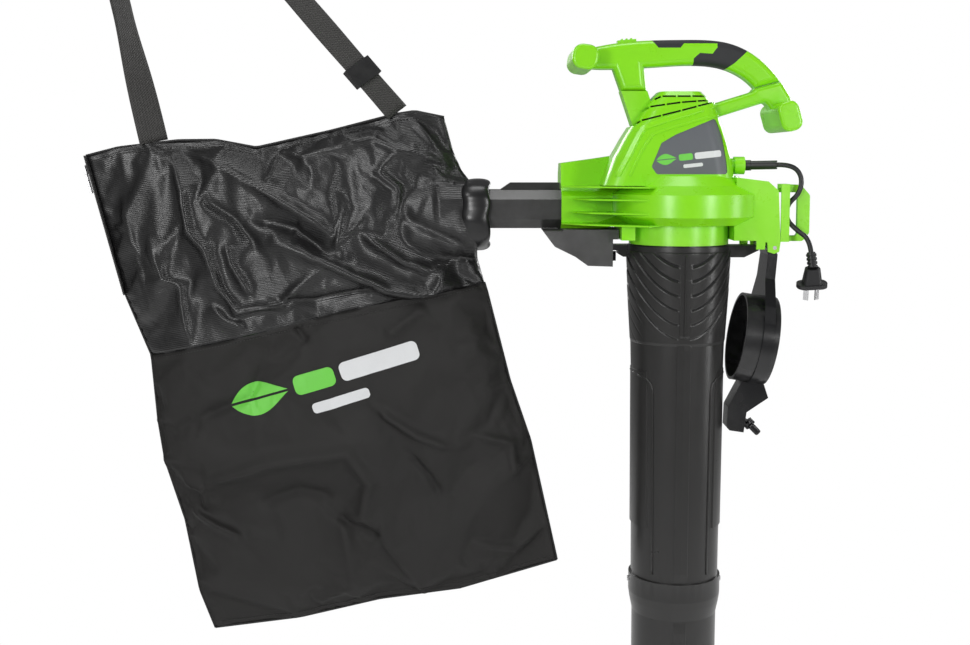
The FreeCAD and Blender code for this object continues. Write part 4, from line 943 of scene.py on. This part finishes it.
# ---- Cuff of the bag --------------------------------------------------------
def make_cuff():
    """The gathered elastic cuff that grips the bag tube."""
    half_y, half_z = 0.0412, 0.0300
    middle_z = TUBE_MIDDLE_Z
    profile = [(-0.2820, 0.0030), (-0.2780, 0.0074), (-0.2710, 0.0094), (-0.2620, 0.0100), (-0.2540, 0.0096),
               (-0.2480, 0.0082), (-0.2450, 0.0054), (-0.2458, 0.0030), (-0.2500, 0.0016),
               (-0.2700, 0.0006), (-0.2810, 0.0006)]
    columns = 160
    points = []
    for x, out in profile:
        for c in range(columns):
            angle = 2 * math.pi * c / columns
            below = max(0.0, -math.sin(angle))
            edge = (abs(math.cos(angle)) ** 3.2 + abs(math.sin(angle)) ** 3.2) ** (-1 / 3.2)
            gather = 0.0004 * math.sin(9 * angle + 60 * x) + 0.0002 * math.sin(17 * angle + 1.3 - 40 * x)
            grow = out * (1 + 0.60 * below) + gather * smooth(out / 0.006)
            points.append((x + 0.0012 * math.sin(7 * angle), BAG_Y + math.cos(angle) * (edge * half_y + grow),
                           middle_z + math.sin(angle) * (edge * (half_z + 0.0100 * below) + grow)))
    rows = len(profile)
    faces = grid_faces(rows, columns, True)
    faces += [((rows - 1) * columns + c, (rows - 1) * columns + (c + 1) % columns, (c + 1) % columns, c)
              for c in range(columns)]
    mesh = mesh_of("bag_cuff", points, faces)
    piece = link_piece("bag_cuff", mesh, "bag_assembly", RIPSTOP)
    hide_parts("bag_collar")
    rounder = piece.modifiers.new("rounder", "SUBSURF")
    rounder.levels = rounder.render_levels = 1
    return piece


make_cuff()


# ---- Hems, cross seam, stitches ---------------------------------------------
def tube_along(name, points, radius, body, material, sides=8):
    """A thin round cord through points."""
    ring_points = []
    for i, here in enumerate(points):
        way = (points[min(i + 1, len(points) - 1)] - points[max(i - 1, 0)]).normalized()
        flat = way.cross(V((0, 1, 0)))
        flat = flat.normalized() if flat.length > 1e-6 else V((1, 0, 0))
        up = flat.cross(way)
        for c in range(sides):
            angle = 2 * math.pi * c / sides
            ring_points.append(here + flat * (radius * math.cos(angle)) + up * (radius * math.sin(angle)))
    mesh = mesh_of(name, ring_points, capped_faces(len(points), sides))
    link_piece(name, mesh, body, material)


BINDING = moulded("binding", (0.010, 0.010, 0.010), (0.03, 0.03, 0.03), 0.6, 1500, 0.0002)


def outline_points(line, count):
    return [V((p[0], BAG_Y, p[1])) for p in (along(line, i / (count - 1)) for i in range(count))]


BINDINGS = (("left", LEFT_UPPER + LEFT_LOWER[1:], 90, 0.0016, "bag_nylon"),
            ("right", RIGHT_LOWER, 60, 0.0014, "bag_nylon"),
            ("bottom", BOTTOM_EDGE, 60, 0.0014, "bag_nylon"),
            ("top", TOP_EDGE, 80, 0.0016, "bag_ripstop"))
for where, edge_line, count, radius, slot in BINDINGS:
    tube_along("bag_binding_" + where, outline_points(edge_line, count), radius, "bag_assembly", BINDING)


STITCH_PITCH = 0.0042


def make_stitches(name, line, tree, side, shift):
    """A row of stitches along a seam, each a small raised dash."""
    points, faces = [], []
    total = sum(math.dist(a, b) for a, b in zip(line[:-1], line[1:]))
    count = int(total / STITCH_PITCH)
    for i in range(2, count - 2):
        ends = []
        for share in (i / count, (i + 0.62) / count):
            spot = along(line, share)
            hit, _ = on_surface(tree, spot.x, spot.y + shift, side)
            if hit is not None:
                ends.append(hit)
        if len(ends) < 2:
            continue
        first = len(points)
        for end, lift in ((ends[0], 0.0), (ends[0].lerp(ends[1], 0.5), 0.0007), (ends[1], 0.0)):
            for dy, dz in ((side * (0.0006 + lift), 0.0), (side * 0.0002, 0.0005), (side * 0.0002, -0.0005)):
                points.append(end + V((0, dy, dz)))
        for k in (0, 3):
            for a, b in ((0, 1), (1, 2), (2, 0)):
                faces.append((first + k + a, first + k + b, first + k + 3 + b, first + k + 3 + a))
    return link_piece(name, mesh_of(name, points, faces), "bag_assembly", THREAD)


THREAD = ink("thread", (0.035, 0.034, 0.033), 0.6)
for stitch_side, stitch_tag in ((-1, "front"), (1, "rear")):
    make_stitches("seam_stitches_" + stitch_tag, SEAM_EDGE, bag_tree, stitch_side, -0.004)
    make_stitches("hem_stitches_" + stitch_tag, TOP_EDGE, bag_tree, stitch_side, -0.009)
    make_stitches("foot_stitches_" + stitch_tag, BOTTOM_EDGE, bag_tree, stitch_side, 0.008)


for flank_side, flank_tag in ((-1, "front"), (1, "rear")):
    flank_ridge("flank_ridge_left_" + flank_tag, flank_side, -1)
    flank_ridge("flank_ridge_right_" + flank_tag, flank_side, 1)


# ---- Shoulder strap ---------------------------------------------------------
STRAP_WIDTH = 0.038
STRAP_TOP = V((-0.776, 0.365))
STRAP_BEND = 0.020
# The left and the right run: its foot, its side of the bend and its twist in degrees on the way up.
STRAP_RUNS = ((V((-0.692, -0.113)), -1, (-25, -62, -85, -90)),
              (V((-0.368, -0.074)), 1, (-40, -40, -75, -90)))
STRAP_KNOTS = (0.0, 0.36, 0.7, 1.0)


def webbing():
    material = new_material("webbing", (0.020, 0.0195, 0.019), 0.6, Sheen_Weight=0.1)
    shader = shader_of(material)
    flat = coordinates(material, "UV")
    twill = coordinates(material, "UV", turn=(0, 0, math.radians(35)))
    lines = wave(material, twill, "Y", 120.0, 0.8)
    both = product(material, lines, wave(material, flat, "X", 75.0, 0.2))
    link(material, mix_colour(material, lines, (0.012, 0.0115, 0.011), (0.045, 0.043, 0.040)),
         shader.inputs["Base Color"])
    link(material, ramp(material, noise_node(material, flat, 60), 0.5, 0.72), shader.inputs["Roughness"])
    link(material, bump(material, both, 0.0009, 0.8), shader.inputs["Normal"])
    return material


WEBBING = webbing()


def strap_stations():
    """Centre, run direction and twist all along the strap: up the left run, over the bend, down the right."""
    runs = []
    for foot, side, twists in STRAP_RUNS:
        span = STRAP_TOP - foot
        heading = math.atan2(span.y, span.x) - side * math.asin(STRAP_BEND / span.length)
        length = math.sqrt(span.length ** 2 - STRAP_BEND ** 2)
        stations = []
        for i in range(61):
            share = i / 60
            place = foot + V((math.cos(heading), math.sin(heading))) * (length * share)
            for k in range(3):
                if share <= STRAP_KNOTS[k + 1] + 1e-9:
                    t = smooth((share - STRAP_KNOTS[k]) / (STRAP_KNOTS[k + 1] - STRAP_KNOTS[k]))
                    twist = twists[k] + (twists[k + 1] - twists[k]) * t
                    break
            stations.append((place, heading, twist))
        runs.append(stations)
    left, right = runs
    start = math.atan2(left[-1][0].y - STRAP_TOP.y, left[-1][0].x - STRAP_TOP.x)
    end = math.atan2(right[-1][0].y - STRAP_TOP.y, right[-1][0].x - STRAP_TOP.x)
    while start < end:
        start += 2 * math.pi
    while start - end > 2 * math.pi:
        start -= 2 * math.pi
    bend = []
    for i in range(1, 16):
        angle = start + (end - start) * i / 16
        place = STRAP_TOP + V((math.cos(angle), math.sin(angle))) * STRAP_BEND
        bend.append((place, angle - math.pi / 2, -90))
    back = [(place, heading + math.pi, -twist) for place, heading, twist in reversed(right)]
    return left, bend, back


def make_strap():
    left, bend, back = strap_stations()
    mesh = bmesh.new()
    uv = mesh.loops.layers.uv.new("UVMap")
    rows = []
    run = 0.0
    before = None
    last_across = None
    for place, heading, twist in left + bend + back:
        here = V((place.x, BAG_Y, place.y))
        if before is not None:
            run += (here - before).length
        before = here
        way = V((math.cos(heading), 0, math.sin(heading)))
        flat = V((-way.z, 0, way.x))
        turn = math.radians(twist)
        across = flat * math.cos(turn) + V((0, 1, 0)) * math.sin(turn)
        if last_across is not None and across.dot(last_across) < 0:
            across = -across
        last_across = across
        through = way.cross(across)
        row = []
        for k in range(13):
            share = k / 12 * 2 - 1
            wave = 0.0006 * math.sin(run * 38 + share * 1.4)
            thick = 0.0009 if abs(share) < 0.9 else 0.0006
            for sign in (1, -1):
                spot = here + across * (share * STRAP_WIDTH / 2) + through * (sign * thick + wave)
                row.append((mesh.verts.new(spot), share * STRAP_WIDTH / 2, run))
        rows.append(row)
    def face(entries):
        made = mesh.faces.new([e[0] for e in entries])
        made.smooth = True
        for loop, entry in zip(made.loops, entries):
            loop[uv].uv = (entry[1], entry[2])
    for a, b in zip(rows[:-1], rows[1:]):
        for k in range(12):
            face([a[2 * k], a[2 * k + 2], b[2 * k + 2], b[2 * k]])
            face([a[2 * k + 1], b[2 * k + 1], b[2 * k + 3], a[2 * k + 3]])
        face([a[0], b[0], b[1], a[1]])
        face([a[24], a[25], b[25], b[24]])
    for row in (rows[0], rows[-1]):
        for k in range(12):
            face([row[2 * k], row[2 * k + 1], row[2 * k + 3], row[2 * k + 2]])
    bmesh.ops.recalc_face_normals(mesh, faces=mesh.faces)
    made = bpy.data.meshes.new("strap_webbing")
    mesh.to_mesh(made)
    mesh.free()
    piece = link_piece("strap_webbing", made, "bag_assembly", WEBBING, False)
    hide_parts("strap_left", "strap_right", "strap_top")
    return piece


make_strap()


# ---- Zip --------------------------------------------------------------------
TOOTH_PITCH = 0.0022
BOX_FACES = ((0, 1, 3, 2), (4, 6, 7, 5), (0, 4, 5, 1), (2, 3, 7, 6), (1, 5, 7, 3), (0, 2, 6, 4))


def make_zip():
    """Tape with its two rows of coil teeth down the upper left edge."""
    top, bottom = V((-0.783, BAG_Y, -0.131)), V((-0.735, BAG_Y, -0.317))
    way = (bottom - top).normalized()
    out = V((0, 1, 0)).cross(way).normalized()
    if out.x > 0:
        out = -out
    length = (bottom - top).length
    points, faces = [], []
    rows = 40
    for i in range(rows + 1):
        base = top + way * (length * i / rows)
        for y, o in ((-0.0085, -0.0012), (-0.0080, 0.0009), (-0.0015, 0.0018), (0.0015, 0.0018),
                     (0.0080, 0.0009), (0.0085, -0.0012)):
            points.append(base + V((0, y, 0)) + out * o)
    faces += grid_faces(rows + 1, 6)
    mesh = mesh_of("zip_tape_cloth", points, faces)
    piece = link_piece("zip_tape_cloth", mesh, "bag_assembly", WEBBING)
    thick = piece.modifiers.new("thickness", "SOLIDIFY")
    thick.thickness = FABRIC_THICKNESS
    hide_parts("zipper_tape")
    points, faces = [], []
    for i in range(int(length / TOOTH_PITCH)):
        for side in (-1, 1):
            base = top + way * (TOOTH_PITCH * i + (TOOTH_PITCH / 2 if side > 0 else 0)) + out * 0.0022
            first = len(points)
            for dw in (-0.0005, 0.0005):
                for dy in (0.0, side * 0.0022):
                    for do in (-0.0003, 0.0009):
                        points.append(base + way * dw + V((0, dy, 0)) + out * do)
            faces += [tuple(first + k for k in corners) for corners in BOX_FACES]
    link_piece("zip_teeth", mesh_of("zip_teeth", points, faces), "bag_assembly", SLOT_LOOKS["black_plastic"],
               False)


make_zip()

# ---- Floor, light -----------------------------------------------------------
def make_stage():
    floor_z = CAD_BOX[0][2] - 0.002
    size = 40
    mesh = bpy.data.meshes.new("floor")
    corners = [(-size, -size, floor_z), (size, -size, floor_z), (size, size, floor_z), (-size, size, floor_z)]
    mesh.from_pydata(corners, [], [(0, 1, 2, 3)])
    floor = bpy.data.objects.new("floor", mesh)
    scene.collection.objects.link(floor)
    pale = new_material("floor_pale", (0.93, 0.93, 0.93), 0.9)
    grain = noise_node(pale, coordinates(pale), 3, 3)
    link(pale, mix_colour(pale, grain, (0.92, 0.92, 0.92), (0.95, 0.95, 0.95)),
         shader_of(pale).inputs["Base Color"])
    bright = add_node(pale, "ShaderNodeEmission", in_Strength=1.0)
    seen = add_node(pale, "ShaderNodeLightPath")
    either = add_node(pale, "ShaderNodeMixShader")
    link(pale, seen.outputs["Is Camera Ray"], either.inputs[0])
    link(pale, shader_of(pale).outputs[0], either.inputs[1])
    link(pale, bright.outputs[0], either.inputs[2])
    link(pale, either.outputs[0], pale.node_tree.nodes["Material Output"].inputs["Surface"])
    mesh.materials.append(pale)


def make_world():
    """A white studio: the backdrop is white, and the room gives a softer light than it looks."""
    world = bpy.data.worlds.new("studio")
    world.use_nodes = True
    tree = world.node_tree
    room = tree.nodes["Background"]
    room.inputs["Color"].default_value = (1, 1, 1, 1)
    room.inputs["Strength"].default_value = 0.22
    backdrop = tree.nodes.new("ShaderNodeBackground")
    backdrop.inputs["Color"].default_value = (1, 1, 1, 1)
    backdrop.inputs["Strength"].default_value = 1.0
    path = tree.nodes.new("ShaderNodeLightPath")
    mixer = tree.nodes.new("ShaderNodeMixShader")
    tree.links.new(path.outputs["Is Camera Ray"], mixer.inputs[0])
    tree.links.new(room.outputs[0], mixer.inputs[1])
    tree.links.new(backdrop.outputs[0], mixer.inputs[2])
    tree.links.new(mixer.outputs[0], tree.nodes["World Output"].inputs["Surface"])
    scene.world = world
    scene.view_settings.view_transform = "Standard"


def add_light(name, place, aim, width, height, power):
    data = bpy.data.lights.new(name, "AREA")
    data.shape = "RECTANGLE"
    data.size = width
    data.size_y = height
    data.energy = power
    lamp = bpy.data.objects.new(name, data)
    scene.collection.objects.link(lamp)
    lamp.location = place
    lamp.rotation_euler = (V(aim) - V(place)).to_track_quat("-Z", "Y").to_euler()


# Each light's name, place, aim, width, height and power.
LIGHTS = (
    ("front_left", (-0.93, -1.60, -0.02), (0, 0, -0.22), 0.30, 0.42, 10),
    ("front_right", (0.97, -1.56, -0.02), (0, 0, -0.22), 0.30, 0.42, 10),
    ("high_left", (-1.7, -1.5, 1.4), (-0.3, 0, -0.3), 0.8, 0.8, 15),
    ("side_right", (1.9, -0.5, -0.2), (0, 0, -0.4), 0.25, 1.3, 8),
    ("back_left", (-1.3, 1.9, 0.5), (-0.2, 0, -0.3), 0.9, 0.9, 22),
    ("back_right", (1.3, 1.8, 0.3), (-0.1, 0, -0.3), 0.7, 0.9, 18),
    ("top", (-0.2, -0.2, 1.9), (-0.2, 0, -0.3), 1.2, 0.8, 15),
)
make_stage()
make_world()
for light in LIGHTS:
    add_light(*light)
